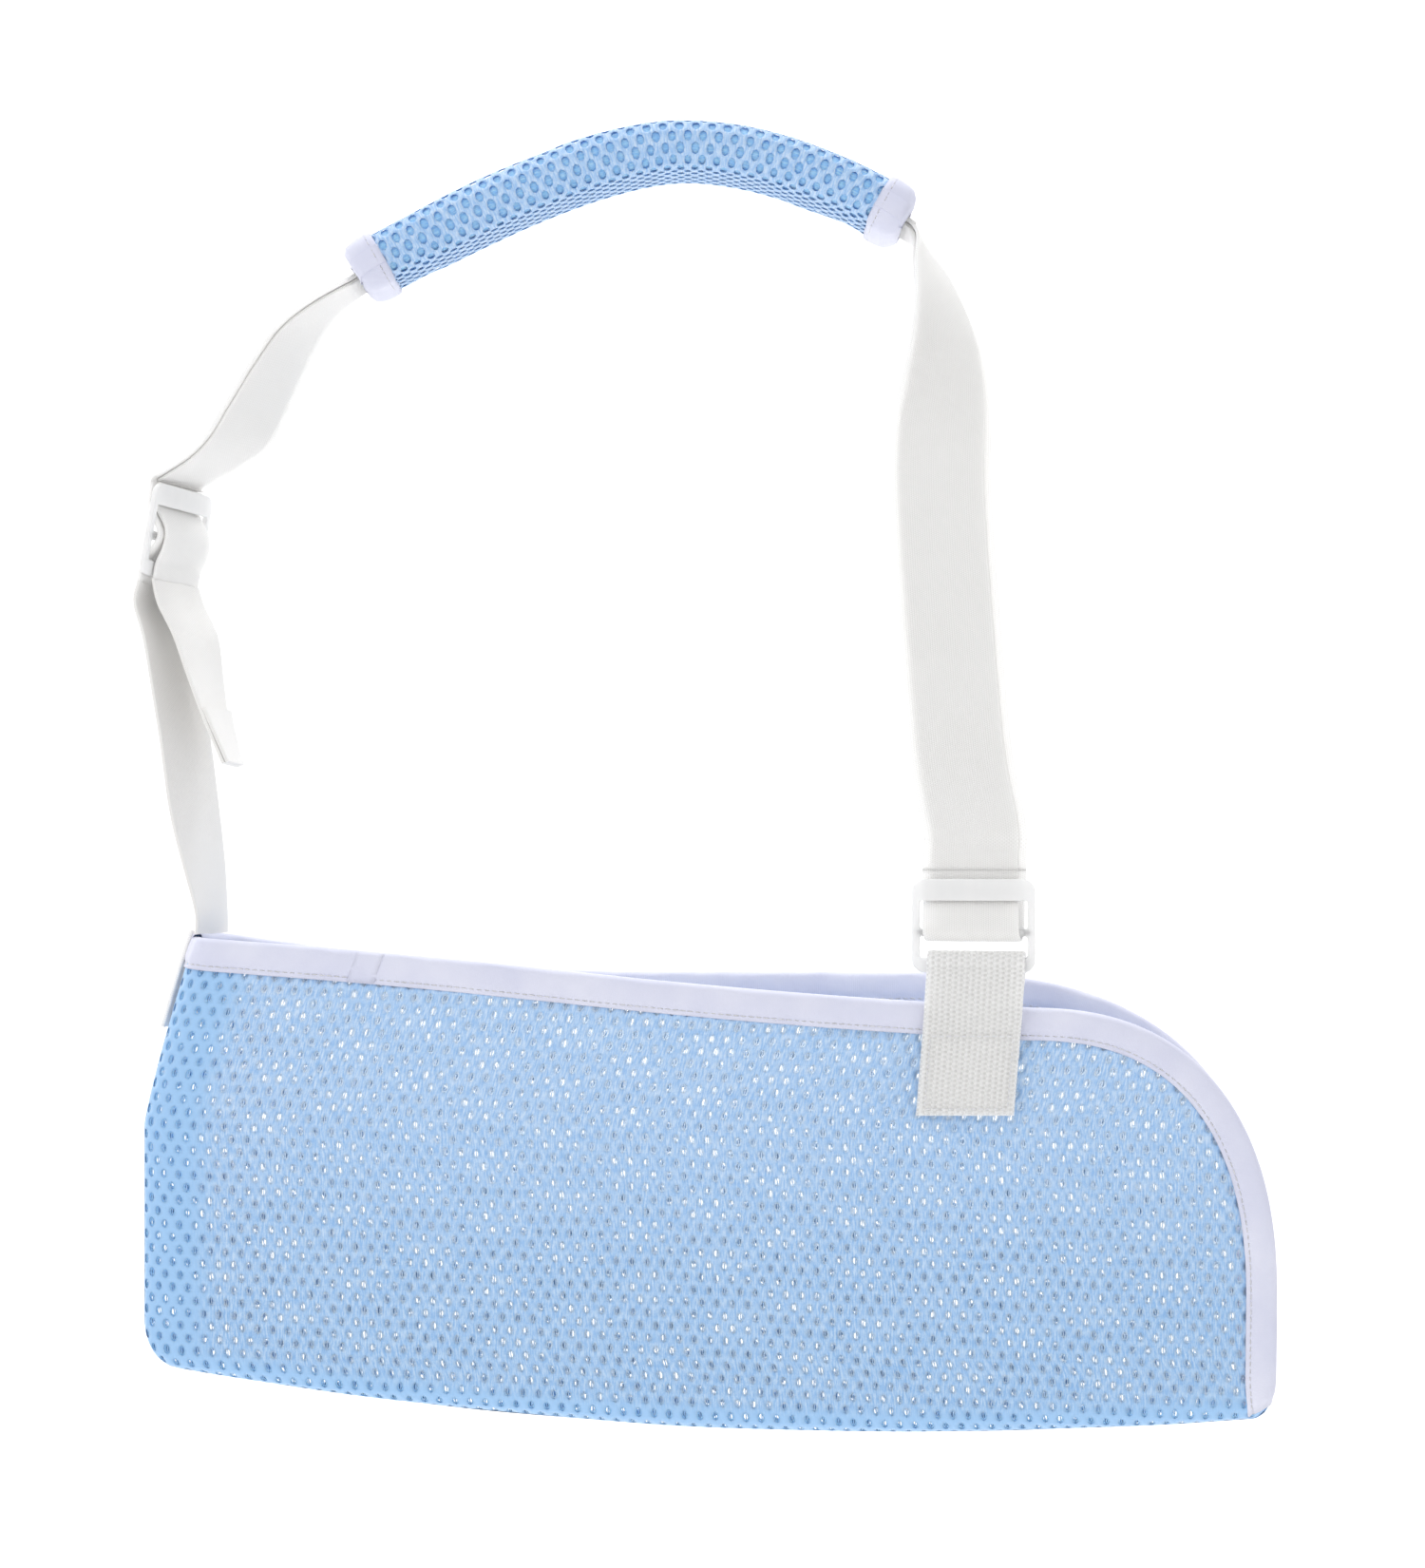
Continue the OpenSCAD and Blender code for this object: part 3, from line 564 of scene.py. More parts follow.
class Cloth:
    """Maps distances along the cloth, u from the elbow edge and v up, to the panel's s and z."""

    def __init__(self, side):
        self.side = side
        s = np.concatenate([24 * (1 - np.cos(np.linspace(0, math.pi / 2, 60))),
                            np.linspace(24.5, POUCH_L, 400)])
        self.heights = np.linspace(-503, -303, 60)
        lengths = [along(on_panel(side, s, np.full_like(s, z), bottom_z(s))) for z in self.heights]
        self.u = np.linspace(0, max(a[-1] for a in lengths), 900)
        self.table = np.array([np.interp(self.u, a, s) for a in lengths])

    def at(self, u, v):
        z = v - KNIT_SLOPE * u
        s = self.lookup(u, z)
        low = bottom_z(s)
        below = np.clip((low + EDGE_R - z) / EDGE_R, 0, math.pi / 2)
        z = np.where(below > 0, low + EDGE_R * (1 - np.sin(below)), z)
        s = self.lookup(u, z)
        return s, np.clip(z, bottom_z(s), rim_z(self.side, s))

    def lookup(self, u, z):
        first, second = self.heights[:2]
        row = np.clip((z - first) / (second - first), 0, len(self.heights) - 1.001)
        col = np.clip(u / (self.u[1] - self.u[0]), 0, len(self.u) - 1.001)
        i, j = row.astype(int), col.astype(int)
        b, t = col - j, self.table
        return lerp(lerp(t[i, j], t[i, j + 1], b), lerp(t[i + 1, j], t[i + 1, j + 1], b), row - i)


def ripple(u, v, seed):
    """The slight unevenness of hanging cloth, in mm."""
    return (0.55 * np.sin(u / 31 + 0.7 * np.sin(v / 40 + seed)) * np.sin(v / 47 + seed)
            + 0.35 * np.sin(u / 17 + v / 29 + seed * 2))


# ---- knitted mesh with real holes
PITCH_U, PITCH_V = 6.1, 5.0
FACE_T, LINING_T = 0.4, 0.35
FACE_D, LINING_D, YARN_D = MESH_T / 2 - 0.3, MESH_T / 2 - 0.8, MESH_T / 2 - 0.85
SMALLEST_CELL = 0.9     # cells squeezed smaller than this, at the rim and the bottom, are left out
HOLES = {FRONT: ((2.8, 3.9), (1.45, 2.7)), BACK: ((3.7, 4.6), (3.4, 4.4))}      # the face's, the lining's
BACK_TURN = 0.17        # radians that the back panel's knit is turned, so that the holes don't line up


def turned(points, turn):
    """Flat points turned round the middle of the panel."""
    c, s = math.cos(turn), math.sin(turn)
    middle = np.array([POUCH_L / 2, -400])
    return (points - middle) @ np.array([[c, s], [-s, c]]) + middle


def lattice(u_range, v_range, hole, pitch_v=PITCH_V, turn=0.0):
    """Staggered cells, each a ring of cloth round an oval hole. Returns merged flat points, which of
    them lie on a hole's edge, ring faces and hole loops."""
    top, mid, side = pitch_v * 2 / 3, pitch_v / 3, PITCH_U / 2
    outer = np.array([(0, top), (-side, mid), (-side, 0), (-side, -mid),
                      (0, -top), (side, -mid), (side, 0), (side, mid)])
    angles = np.radians([90, 135, 180, 225, 270, 315, 0, 45])
    oval = np.stack([hole[0] / 2 * np.cos(angles), hole[1] / 2 * np.sin(angles)], -1)
    centres = np.array([((i + 0.5 * (j % 2)) * PITCH_U, j * pitch_v)
                        for j in range(int((v_range[1] - v_range[0]) / pitch_v) + 1)
                        for i in range(int((u_range[1] - u_range[0]) / PITCH_U) + 1)])
    centres = centres + [u_range[0], v_range[0]]
    local = random.Random(11)
    jitter = np.array([[local.uniform(-0.12, 0.12), local.uniform(-0.12, 0.12)] for _ in centres])
    size = np.array([local.uniform(0.92, 1.06) for _ in centres])
    rings = centres[:, None, :] + outer
    holes = centres[:, None, :] + jitter[:, None, :] + oval * size[:, None, None]
    merged, index = np.unique(np.round(rings.reshape(-1, 2), 3), axis=0, return_inverse=True)
    points = turned(np.concatenate([merged, holes.reshape(-1, 2)]), turn)
    numbers = np.arange(len(points))
    loops = numbers[len(merged):].reshape(-1, 8)
    return points, numbers >= len(merged), index.reshape(-1, 8), loops


def mesh_layer(name, flat, place, material, thickness, droop):
    """A closed layer of mesh, flat being what lattice returns. place(points, offset) puts flat points
    in the sling, and droop is how much thinner the cloth is at a hole's edge."""
    points, on_hole, rings, holes = flat
    n = len(points)
    upper = place(points, thickness / 2 - droop * on_hole)
    lower = place(points, -thickness / 2 + droop * 0.6 * on_hole)
    wanted = np.abs(upper[rings] - upper[rings].mean(1, keepdims=True)).max((1, 2)) > SMALLEST_CELL
    rings, holes = rings[wanted], holes[wanted]
    faces = []
    for ring, hole in zip(rings.tolist(), holes.tolist()):
        for k in range(8):
            a, b, c, d = ring[k], ring[(k + 1) % 8], hole[(k + 1) % 8], hole[k]
            faces += [(a, b, c, d), (n + d, n + c, n + b, n + a), (d, c, n + c, n + d)]
    sides = np.stack([rings, np.roll(rings, -1, axis=1)], -1).reshape(-1, 2)
    _, first, uses = np.unique(np.sort(sides, axis=1), axis=0, return_index=True, return_counts=True)
    faces += [(b, a, n + a, n + b) for a, b in sides[first[uses == 1]].tolist()]
    return fix_normals(make_object(name, np.concatenate([upper, lower]), faces, material,
                                   np.concatenate([points, points])))


def pouch_panel(side, name, node):
    """One panel: a face layer outside and a plainer layer inside, as spacer mesh has, with yarns
    between them. Returns the three pieces."""
    cloth = Cloth(side)
    seed, turn, grow = (0.0, 0.0, 0) if side == FRONT else (2.1, BACK_TURN, 60)
    extent = ((-grow, POUCH_L + 24 + grow), (-518.0 - grow, -280.0 + grow))

    def placer(middle):
        def place(points, offset):
            u, v = np.clip(points[:, 0], 0, cloth.u[-1]), points[:, 1]
            s, z = cloth.at(u, v)
            d = middle + offset + (ripple(u, v, seed) * clamp01((s - 10) / 60)
                                   * clamp01((rim_z(side, s) - z) / 25))
            return off_panel(side, s, z, d * lerp(0.3, 1, clamp01((z - bottom_z(s)) / 3)))
        return place

    face_hole, lining_hole = HOLES[side]
    face = mesh_layer(name, lattice(*extent, face_hole, turn=turn), placer(FACE_D), mesh_face, FACE_T, 0.1)
    lining = mesh_layer(name + "_lining", lattice(*extent, lining_hole, turn=turn), placer(LINING_D),
                        mesh_lining, LINING_T, 0.05)
    yarns = spacer_yarns(name + "_yarns", extent, turn, placer(YARN_D))
    for layer, nodes in ((lining, ()), (yarns, ()), (face, [node])):
        shade_fold(layer)
        finish_piece(layer, "pouch", nodes)
    return face, lining, yarns


def spacer_yarns(name, extent, turn, place):
    """Fine upright yarns across the middle of the holes, one for each column of holes."""
    local = random.Random(5)
    points, faces, uvs = [], [], []
    (left, right), (low, high) = extent
    v = np.arange(low, high, 4.0)
    n = len(v)
    for column in range(int((right - left) / PITCH_U * 2)):
        u = left + column * PITCH_U / 2 + np.array([local.uniform(-0.2, 0.2) for _ in v])
        half = local.uniform(0.2, 0.34)
        base = len(points) * n
        points += [place(turned(np.stack([u + du, v], -1), turn), lift)
                   for du, lift in ((-half, 0.0), (0.0, 0.2), (half, 0.0), (0.0, -0.2))]
        uvs += [np.stack([u, v], -1)] * 4
        faces += [(base + k * n + i, base + k * n + i + 1, base + (k + 1) % 4 * n + i + 1,
                   base + (k + 1) % 4 * n + i) for k in range(4) for i in range(n - 1)]
    return fix_normals(make_object(name, np.concatenate(points), faces, mesh_lining, np.concatenate(uvs)))


def shade_fold(obj):
    """Marks how deep in the elbow fold or the bottom edge each point of a layer lies, which is how much
    painted shade its yarn gets there.
    """
    co = np.array([v.co for v in obj.data.vertices]) / MM
    from_elbow = co[:, 0] + ELBOW_REACH - elbow_lean(co[:, 2])
    from_bottom = co[:, 2] - bottom_z(np.clip(co[:, 0] + ELBOW_REACH, 0, POUCH_L))
    fold = np.maximum(clamp01((30 - from_elbow) / 12), clamp01((12 - from_bottom) / 6))
    mark = obj.data.attributes.new("fold", "FLOAT", "POINT")
    mark.data.foreach_set("value", fold.astype(np.float32))


# ---- camera, light and floor
VIEW_X, VIEW_Z, VIEW_H, DISTANCE = 14.8, -243.6, 627.0, 1570.0
camera_data = bpy.data.cameras.new("camera")
camera_data.sensor_fit = "VERTICAL"
camera_data.sensor_height = 24
camera_data.lens = 24 * DISTANCE / VIEW_H
camera_data.clip_end = 50
camera = add_object("camera", camera_data)
camera.location = Vector((VIEW_X, -DISTANCE - 6, VIEW_Z)) * MM      # sized at the strap's plane
camera.rotation_euler = (math.radians(90), 0, 0)
bpy.context.scene.camera = camera
bpy.context.scene.view_settings.view_transform = "Standard"


def area_light(name, place, aim, size, power):
    """A soft light. Its places and sizes are in metres, and its power is in watts."""
    data = bpy.data.lights.new(name, "AREA")
    data.shape = "RECTANGLE"
    data.size, data.size_y = size
    data.energy = power
    obj = add_object(name, data)
    obj.location = place
    obj.rotation_euler = (Vector(aim) - Vector(place)).to_track_quat("-Z", "Y").to_euler()


def backdrop():
    """A pale floor that sweeps up into a wall behind the sling."""
    floor_z, wall_y, r, half, height = -1150, 2600, 900, 6000, 5000
    line = [(-half, floor_z), (wall_y - r, floor_z)]
    line += [(wall_y - r + r * math.sin(a), floor_z + r - r * math.cos(a))
             for a in np.radians(np.arange(6, 91, 6))]
    line += [(wall_y, height)]
    points = [(x, y, z) for x in (-half, half) for y, z in line]
    n = len(line)
    faces = [(k, k + 1, n + k + 1, n + k) for k in range(n - 1)]
    m = Nodes("backdrop_paper", (0.93, 0.93, 0.93), 0.9)
    shade = m.noise(m.coords("Object"), 1.5)
    m.set(Base_Color=m.ramp(shade, [(0.3, (0.92, 0.92, 0.92)), (0.7, (0.94, 0.94, 0.94))]))
    make_object("backdrop", points, faces, m.material)


backdrop()
world = bpy.data.worlds.new("studio")
bpy.context.scene.world = world
world.use_nodes = True
sky = world.node_tree.nodes["Background"]
sky.inputs["Color"].default_value = (1, 1, 1, 1)
sky.inputs["Strength"].default_value = 0.87
area_light("key", (-1.2, -2.2, 1.4), (0, 0, -0.25), (1.6, 1.6), 14)
area_light("left_rim", (-1.6, 1.0, 0.3), (-0.2, 0, -0.2), (1.4, 1.4), 6)
area_light("wall_wash", (0, 0.9, 1.8), (0, 2.6, -0.4), (3.0, 0.8), 66)

# ---- pouch
front_panel, *front_layers = pouch_panel(FRONT, "front_panel", "pouch_front_panel")
back_panel, *back_layers = pouch_panel(BACK, "back_panel", "pouch_back_panel")
RIM_STEP = 3.0


def rim_line(side):
    """Flat points [s, z] along the rim and down the hand end, evenly spaced, their inward way, and
    how far along each one is."""
    start = CORNER_START[side]
    s = np.concatenate([np.linspace(0, start, 200),
                        start + (POUCH_L - start) * np.sin(np.linspace(0.02, math.pi / 2, 120))])
    down = np.linspace(CORNER_END_Z - 1, bottom_z(np.array(POUCH_L)), 40)
    line = np.concatenate([np.stack([s, rim_z(side, s)], -1),
                           np.stack([np.full_like(down, POUCH_L), down], -1)])
    a = along(line)
    t = np.linspace(0, a[-1], int(a[-1] / RIM_STEP))
    line = at_length(line, a, t)
    d = unit(np.gradient(line, axis=0))
    inward = np.stack([d[:, 1], -d[:, 0]], -1)
    for near, way in (((t / 12), [0, -1.0]), ((a[-1] - t) / 10, [-0.85, -0.53])):
        inward = unit(lerp(np.array(way), inward, clamp01(near)[:, None]))
    return line, inward, t


def rim_spot(side, line, inward, reach_in, d):
    """Points reach_in from the rim's edge towards the panel's middle, d off its middle surface."""
    flat = line + reach_in * inward
    s = np.clip(flat[:, 0], 0, POUCH_L)
    z = np.maximum(flat[:, 1], bottom_z(s) + 0.4)
    p = off_panel(side, s, z, d + 0 * s)
    p[:, 0] += flat[:, 0] - s
    return p


def rim_tape(side, name, node):
    """The tape folded over the rim, puffed between its edge and the stitch line."""
    line, inward, t = rim_line(side)
    cover = MESH_T / 2 + 0.25
    outside = [(0.0, 0.0), (0.9, 0.02), (1.9, -0.12), (3.2, 0.55), (5.5, 0.8), (8.5, 0.75), (10.5, 0.45)]
    path = [(TAPE_W - a, cover + 0.1 + b) for a, b in outside]
    path += [(0.1, cover + 0.15), (-0.75, cover * 0.55), (-1.0, 0.0), (-0.75, -cover * 0.55),
             (0.1, -cover - 0.15)]
    path += [(TAPE_W - a, -cover - 0.1 - b) for a, b in reversed(outside)]
    rings = []
    for k, (a, d) in enumerate(path):
        wave = 0.12 * np.sin(t / 7.3 + k) + 0.1 * np.sin(t / 3.1 + 2 * k)
        rings.append(rim_spot(side, line, inward, a, d + np.sign(d) * wave))
    rings = np.swapaxes(np.array(rings), 0, 1)
    open_skin(name, rings, tape, grid_uvs(np.arange(len(path)) * 1.6, t), 0.45, [node])
    ends = []
    for way in (1, -1):
        seam, above = (rim_spot(side, line, inward, TAPE_W - 1.9, way * (cover + d)) for d in (0.25, 1.25))
        run = along(seam)
        for s0 in np.arange(2.0, run[-1] - 3, 3.0):
            ends.append((at_length(seam, run, s0), at_length(seam, run, s0 + 2.35),
                         at_length(above - seam, run, s0 + 1.2)))
    stitches(name + "_stitches", ends, "pouch", 0.24)


rim_tape(FRONT, "front_rim_tape", "rim_binding_front")
rim_tape(BACK, "back_rim_tape", "rim_binding_back")

# ---- neck pad
pad_line = [[-127, 0, -41, 90], [-117, 0, -34.6, 90], [-85, 0, -18, 90], [-60, 0, -6.5, 90],
            [-32, 0, 4, 90], [-5, 0, 10.2, 90], [19, 0, 9.6, 90], [41, 0, 4.8, 90], [64, 0, -3.8, 90],
            [81.5, 0, -12.4, 90], [92.5, 0, -19, 90]]
pad_route = smooth(pad_line, 12)
pad_s = along(pad_route[:, :3])
pad_ahead, _, pad_out = frames(pad_route)
PAD_START, PAD_END = pad_s[12], pad_s[-13]
STRAP_SINK = 1.5         # how far the strap lies below the pad's middle line


def outline_length(w, h):
    return 2 * (w - h) + math.pi * h


def around(a, w, h):
    """Points round a slot-shaped section at distances a along its outline, from the middle of its
    underside towards -Y."""
    flat, r = (w - h) / 2, h / 2
    a = np.mod(a, outline_length(w, h))
    y, z = np.zeros_like(a), np.zeros_like(a)
    pieces = [(0, flat, lambda b: (-b, -r + 0 * b)),
              (flat, math.pi * r, lambda b: (-flat - r * np.sin(b / r), -r * np.cos(b / r))),
              (flat + math.pi * r, 2 * flat, lambda b: (-flat + b, r + 0 * b)),
              (3 * flat + math.pi * r, math.pi * r, lambda b: (flat + r * np.sin(b / r), r * np.cos(b / r))),
              (3 * flat + 2 * math.pi * r, flat + 1, lambda b: (flat - b, -r + 0 * b))]
    for start, length, shape in pieces:
        here = (a >= start) & (a < start + length)
        py, pz = shape(a - start)
        y, z = np.where(here, py, y), np.where(here, pz, z)
    return y, z


def pad_point(s, y, z):
    """A point of the pad: s along it, y across the neck, z out from its middle line."""
    mid, out = at_length(pad_route[:, :3], pad_s, s), unit(at_length(pad_out, pad_s, s))
    return mid + y[..., None] * np.array([0, 1.0, 0]) + z[..., None] * out


PAD_SWELL = 0.9         # the furthest that the simulated pad may move
LAST_CLOTH_FRAME = 20


def swollen_form():
    """Blows a plain pad up as cloth and returns its points at rest and how far each one moves, in mm."""
    w, h = PAD_W - 2, PAD_H - 2
    y, z = around(np.linspace(0, outline_length(w, h), 64, endpoint=False), w, h)
    rings = [pad_point(np.full_like(y, s), y, z) for s in np.linspace(PAD_START - 8, PAD_END + 8, 60)]
    form = fix_normals(loft("pad_form", rings, mesh_face))
    remesh = form.modifiers.new("remesh", "REMESH")
    remesh.mode = "VOXEL"
    remesh.voxel_size = 0.005
    mesh = evaluated_mesh(form)
    form.modifiers.clear()
    form.data = mesh
    rest = np.array([v.co for v in mesh.vertices]) / MM
    held = form.vertex_groups.new(name="held")
    pad_ends = pad_point(np.array([PAD_START, PAD_END]), np.zeros(2), np.zeros(2))
    for i, p in enumerate(rest):
        if p[0] < pad_ends[0, 0] + 6 or p[0] > pad_ends[1, 0] - 6:
            held.add([i], 1.0, "REPLACE")
    cloth = form.modifiers.new("cloth", "CLOTH")
    settings = cloth.settings
    settings.vertex_group_mass = "held"
    settings.use_pressure = True
    settings.uniform_pressure_force = 4.0
    settings.effector_weights.gravity = 0.0
    for number in range(1, LAST_CLOTH_FRAME + 1):
        bpy.context.scene.frame_set(number)
    blown = form.evaluated_get(bpy.context.evaluated_depsgraph_get()).data
    moves = np.array([v.co for v in blown.vertices]) / MM - rest
    bpy.context.scene.frame_set(1)
    bpy.data.objects.remove(form)
    size = np.linalg.norm(moves, axis=1, keepdims=True)
    return rest, moves * np.minimum(1, PAD_SWELL / np.maximum(size, 1e-6))


pad_form = swollen_form()


def swelling(points):
    """How the simulated pad moves at points near its surface."""
    if pad_form is None:
        return np.zeros_like(points)
    rest, moves = pad_form
    tree = KDTree(len(rest))
    for i, p in enumerate(rest):
        tree.insert(p, i)
    tree.balance()
    result = np.zeros_like(points)
    for k, p in enumerate(points):
        near = tree.find_n(p, 8)
        weight = np.array([1 / (d + 1.0) ** 2 for _, _, d in near])
        result[k] = (moves[[i for _, i, _ in near]] * weight[:, None]).sum(0) / weight.sum()
    return result


def pad_mesh(inset=0.6, crown=0.3):
    """The pad's knitted tube, a little fuller in the middle by crown."""
    w, h = PAD_W - 2 * inset, PAD_H - 2 * inset
    total = outline_length(w, h)
    pitch = total / (2 * round(total / PITCH_V / 2))
    flat = lattice((PAD_START - 6, PAD_END + 6), (0, total - 0.5 * pitch), (3.3, 5.0), pitch)

    def place(p, offset):
        s = np.clip(p[:, 0], PAD_START - 3, PAD_END + 3)
        y, z = around(p[:, 1], w, h)
        y1, z1 = around(p[:, 1] + 0.05, w, h)
        n = unit(np.stack([z1 - z, -(y1 - y)], -1))
        puff = crown * np.sin(math.pi * clamp01((s - PAD_START) / (PAD_END - PAD_START))) ** 0.5
        puff = puff * (1 - np.abs(y) / (w / 2)) * np.sign(z)
        spot = pad_point(s, y + n[:, 0] * offset, z + n[:, 1] * offset + puff)
        return spot + swelling(spot)

    return mesh_layer("pad_mesh", flat, place, mesh_face, 0.6, 0.3)


pad_face = pad_mesh()
finish_piece(pad_face, "neck_pad", ["neck_pad_mesh"])


def pad_core():
    """The folded mesh inside the pad, seen through the face's holes."""
    s = np.linspace(PAD_START - 3, PAD_END + 3, 60)
    w, h = PAD_W - 2.6, PAD_H - 2.6
    a = np.linspace(0, outline_length(w, h), 48, endpoint=False)
    y, z = around(a, w, h)
    rings = [spot + swelling(spot) for spot in (pad_point(np.full_like(y, x), y, z) for x in s)]
    obj = fix_normals(loft("pad_core", rings, mesh_core, grid_uvs(a, s)))
    finish_piece(obj, "neck_pad", ["neck_pad_filling"])


pad_core()


def pad_tape(name, node, s_mesh, s_end):
    """The tape round a pad end: folded over the edge of the mesh, rounded, and open for the strap."""
    profile = [(1.3, -0.6), (0.7, 0.9), (-0.6, 1.25), (-3.0, 1.3), (-6.0, 1.1), (-9.0, 0.4), (-11.3, -1.6),
               (-12.6, -4.2), (-12.9, -6.2), (-12.0, -7.2)]
    total = outline_length(PAD_W, PAD_H)
    a = np.linspace(0, total, 72, endpoint=False)
    side = 1 if s_end > s_mesh else -1
    rings = []
    for x, grow in profile:
        w, h = PAD_W + 2 * max(grow, -5.2), PAD_H + 2 * grow
        y, z = around(a * outline_length(w, h) / total, w, h)
        s = s_mesh - side * x + side * 0.25 * np.sin(a / 6.0)
        z = np.where(np.abs(z) < 3.8, np.where(z < 0, -3.8, 3.8), z) - STRAP_SINK * clamp01((-grow - 1) / 4)
        rings.append(pad_point(s, y, z))
    uvs = grid_uvs(a, np.arange(len(profile)) * 1.5)[..., ::-1]
    obj = fix_normals(loft(name, rings, tape, uvs, caps=False))
    thicken(obj, 0.7, -1)
    finish_piece(obj, "neck_pad", [node])
    ends = []
    y, z = around(np.linspace(0, total, 400), PAD_W + 2.6, PAD_H + 2.6)
    ring = pad_point(np.full_like(y, s_mesh + side * 1.6), y, z)
    run = along(ring)
    mid = ring.mean(0)
    for s0 in np.arange(0, run[-1] - 2.5, 2.9):
        p, q = at_length(ring, run, s0), at_length(ring, run, s0 + 2.2)
        ends.append((p, q, np.array([0, *(p - mid)[1:]])))
    stitches(name + "_stitches", ends, "neck_pad", 0.2)


pad_tape("pad_tape_elbow_side", "neck_pad_binding_elbow_side", PAD_START, 0)
pad_tape("pad_tape_hand_side", "neck_pad_binding_hand_side", PAD_END, pad_s[-1])

# ---- strap routes
ROUTE_STEPS = 8         # points between two rows of a strap's route


def under_pad(i, past=0):
    """The route's row under point i of the pad's line, moved along it by past."""
    return [*(pad_route[i, :3] - STRAP_SINK * pad_out[i] + past * pad_ahead[i]), 90]


def above_slider(at, lean, yaw, up):
    """The route's row where the strap comes down to a slider, up above the slider's middle."""
    return [*placed([0, BEHIND, up], at, lean, yaw), yaw]


hand_run = smooth([
    under_pad(-1, -4), under_pad(-1, 1.5), [97.8, -0.5, -26, 84], [101.5, -1.5, -36, 70],
    [105.3, -3, -50, 57], [107.8, -4.5, -68, 40], [107.5, -6, -86.5, 22], [106, -8, -104, 4],
    [105.6, -11, -127, -1], [108.3, -15.5, -173, -5], [112.7, -23, -230, FRONT_YAW],
    *(above_slider(FRONT_AT, 0, FRONT_YAW, REACH + up) for up in (16.4, 7.4, 0))], ROUTE_STEPS)
elbow_run = smooth([
    *(above_slider(REAR_AT, REAR_LEAN, REAR_YAW, SHORT_REACH + up) for up in (0, 2.4)),
    [-186.5, 4.5, -113.5, 64], [-175.4, 2, -104, 58], [-168, 1, -92, 61], [-161, 0.5, -79, 65],
    [-151.6, 0.3, -63.5, 71], [-140.5, 0, -52, 82], under_pad(0, -1.5), under_pad(0, 4)], ROUTE_STEPS)
pad_run = [under_pad(0, -4)] + [under_pad(i) for i in range(len(pad_route))] + [under_pad(-1, 4)]
TO_FRONT = ("strap", "front_buckle", [112.7, -23, -232], hand_run[-1][:3])
TO_REAR = ("strap", "rear_buckle", [-165, 1, -86], elbow_run[0][:3])
for name, node, run, body, wobble in (
        ("strap_pad_{}", "strap_pad_run_{}", pad_run, "strap", 0),
        ("strap_hand_{}", "strap_hand_run_{}", hand_run, TO_FRONT, WOBBLE),
        ("strap_elbow_{}", "strap_elbow_run_{}", elbow_run, TO_REAR, WOBBLE)):
    first, second = ("front", "return") if run is hand_run else ("outer", "inner")
    for layer, way in ((first, 1), (second, -1)):
        webbing(name.format(layer), run, strap_cloth, body, [node.format(layer)], -way * LAYER_SHIFT,
                way * LAYER_PITCH / 2, wobble)
elbow_anchor = np.array([-188, 12.5, -303.0])


def below_rear(more):
    return placed([-LAYER_SHIFT, 2.6, -REACH - more], REAR_AT, REAR_LEAN, REAR_YAW)


single_run = evenly(smooth([
    [*(elbow_anchor + [0, 0, -1]), 78], [*(elbow_anchor + [0, 0, 8.5]), 78], [-190.5, 12, -277, 72],
    [-194.5, 10.6, -253, 67], [-198, 8.6, -225, 66], [-202, 7.2, -200, 66], [-205.5, 6.6, -184, 68],
    [*below_rear(7.4), REAR_YAW], [*below_rear(0), REAR_YAW]], ROUTE_STEPS), WEBBING_STEP)
# This run hangs between two joints, and a piece can only bend at one, so it is made as two pieces.
split = int(np.argmin(abs(single_run[:, 2] + 226)))
webbing("strap_elbow_single_low", single_run, shaded_strap_cloth,
        ("strap", "pouch", single_run[split - 8][:3], single_run[3][:3]), ["strap_elbow_run_single"],
        keep=slice(split + 1))
webbing("strap_elbow_single_high", single_run, shaded_strap_cloth,
        ("strap", "rear_buckle", single_run[split + 8][:3], single_run[-1][:3]), keep=slice(split, None))

# ---- sliders


BEVEL = 0.55            # the rounding of a slider's edges
BAR_GAP = 0.15          # between a bar and the strap that is bent round it


def rounded_box(w, h, r, centre_z=0.0, steps=8):
    """The corners of a rounded rectangle, turning anticlockwise."""
    return [(cx * (w / 2 - r) + r * math.cos(a), centre_z + cz * (h / 2 - r) + r * math.sin(a))
            for cx, cz, start in ((1, 1, 0), (-1, 1, 90), (-1, -1, 180), (1, -1, 270))
            for a in np.radians(np.linspace(start, start + 90, steps + 1))]


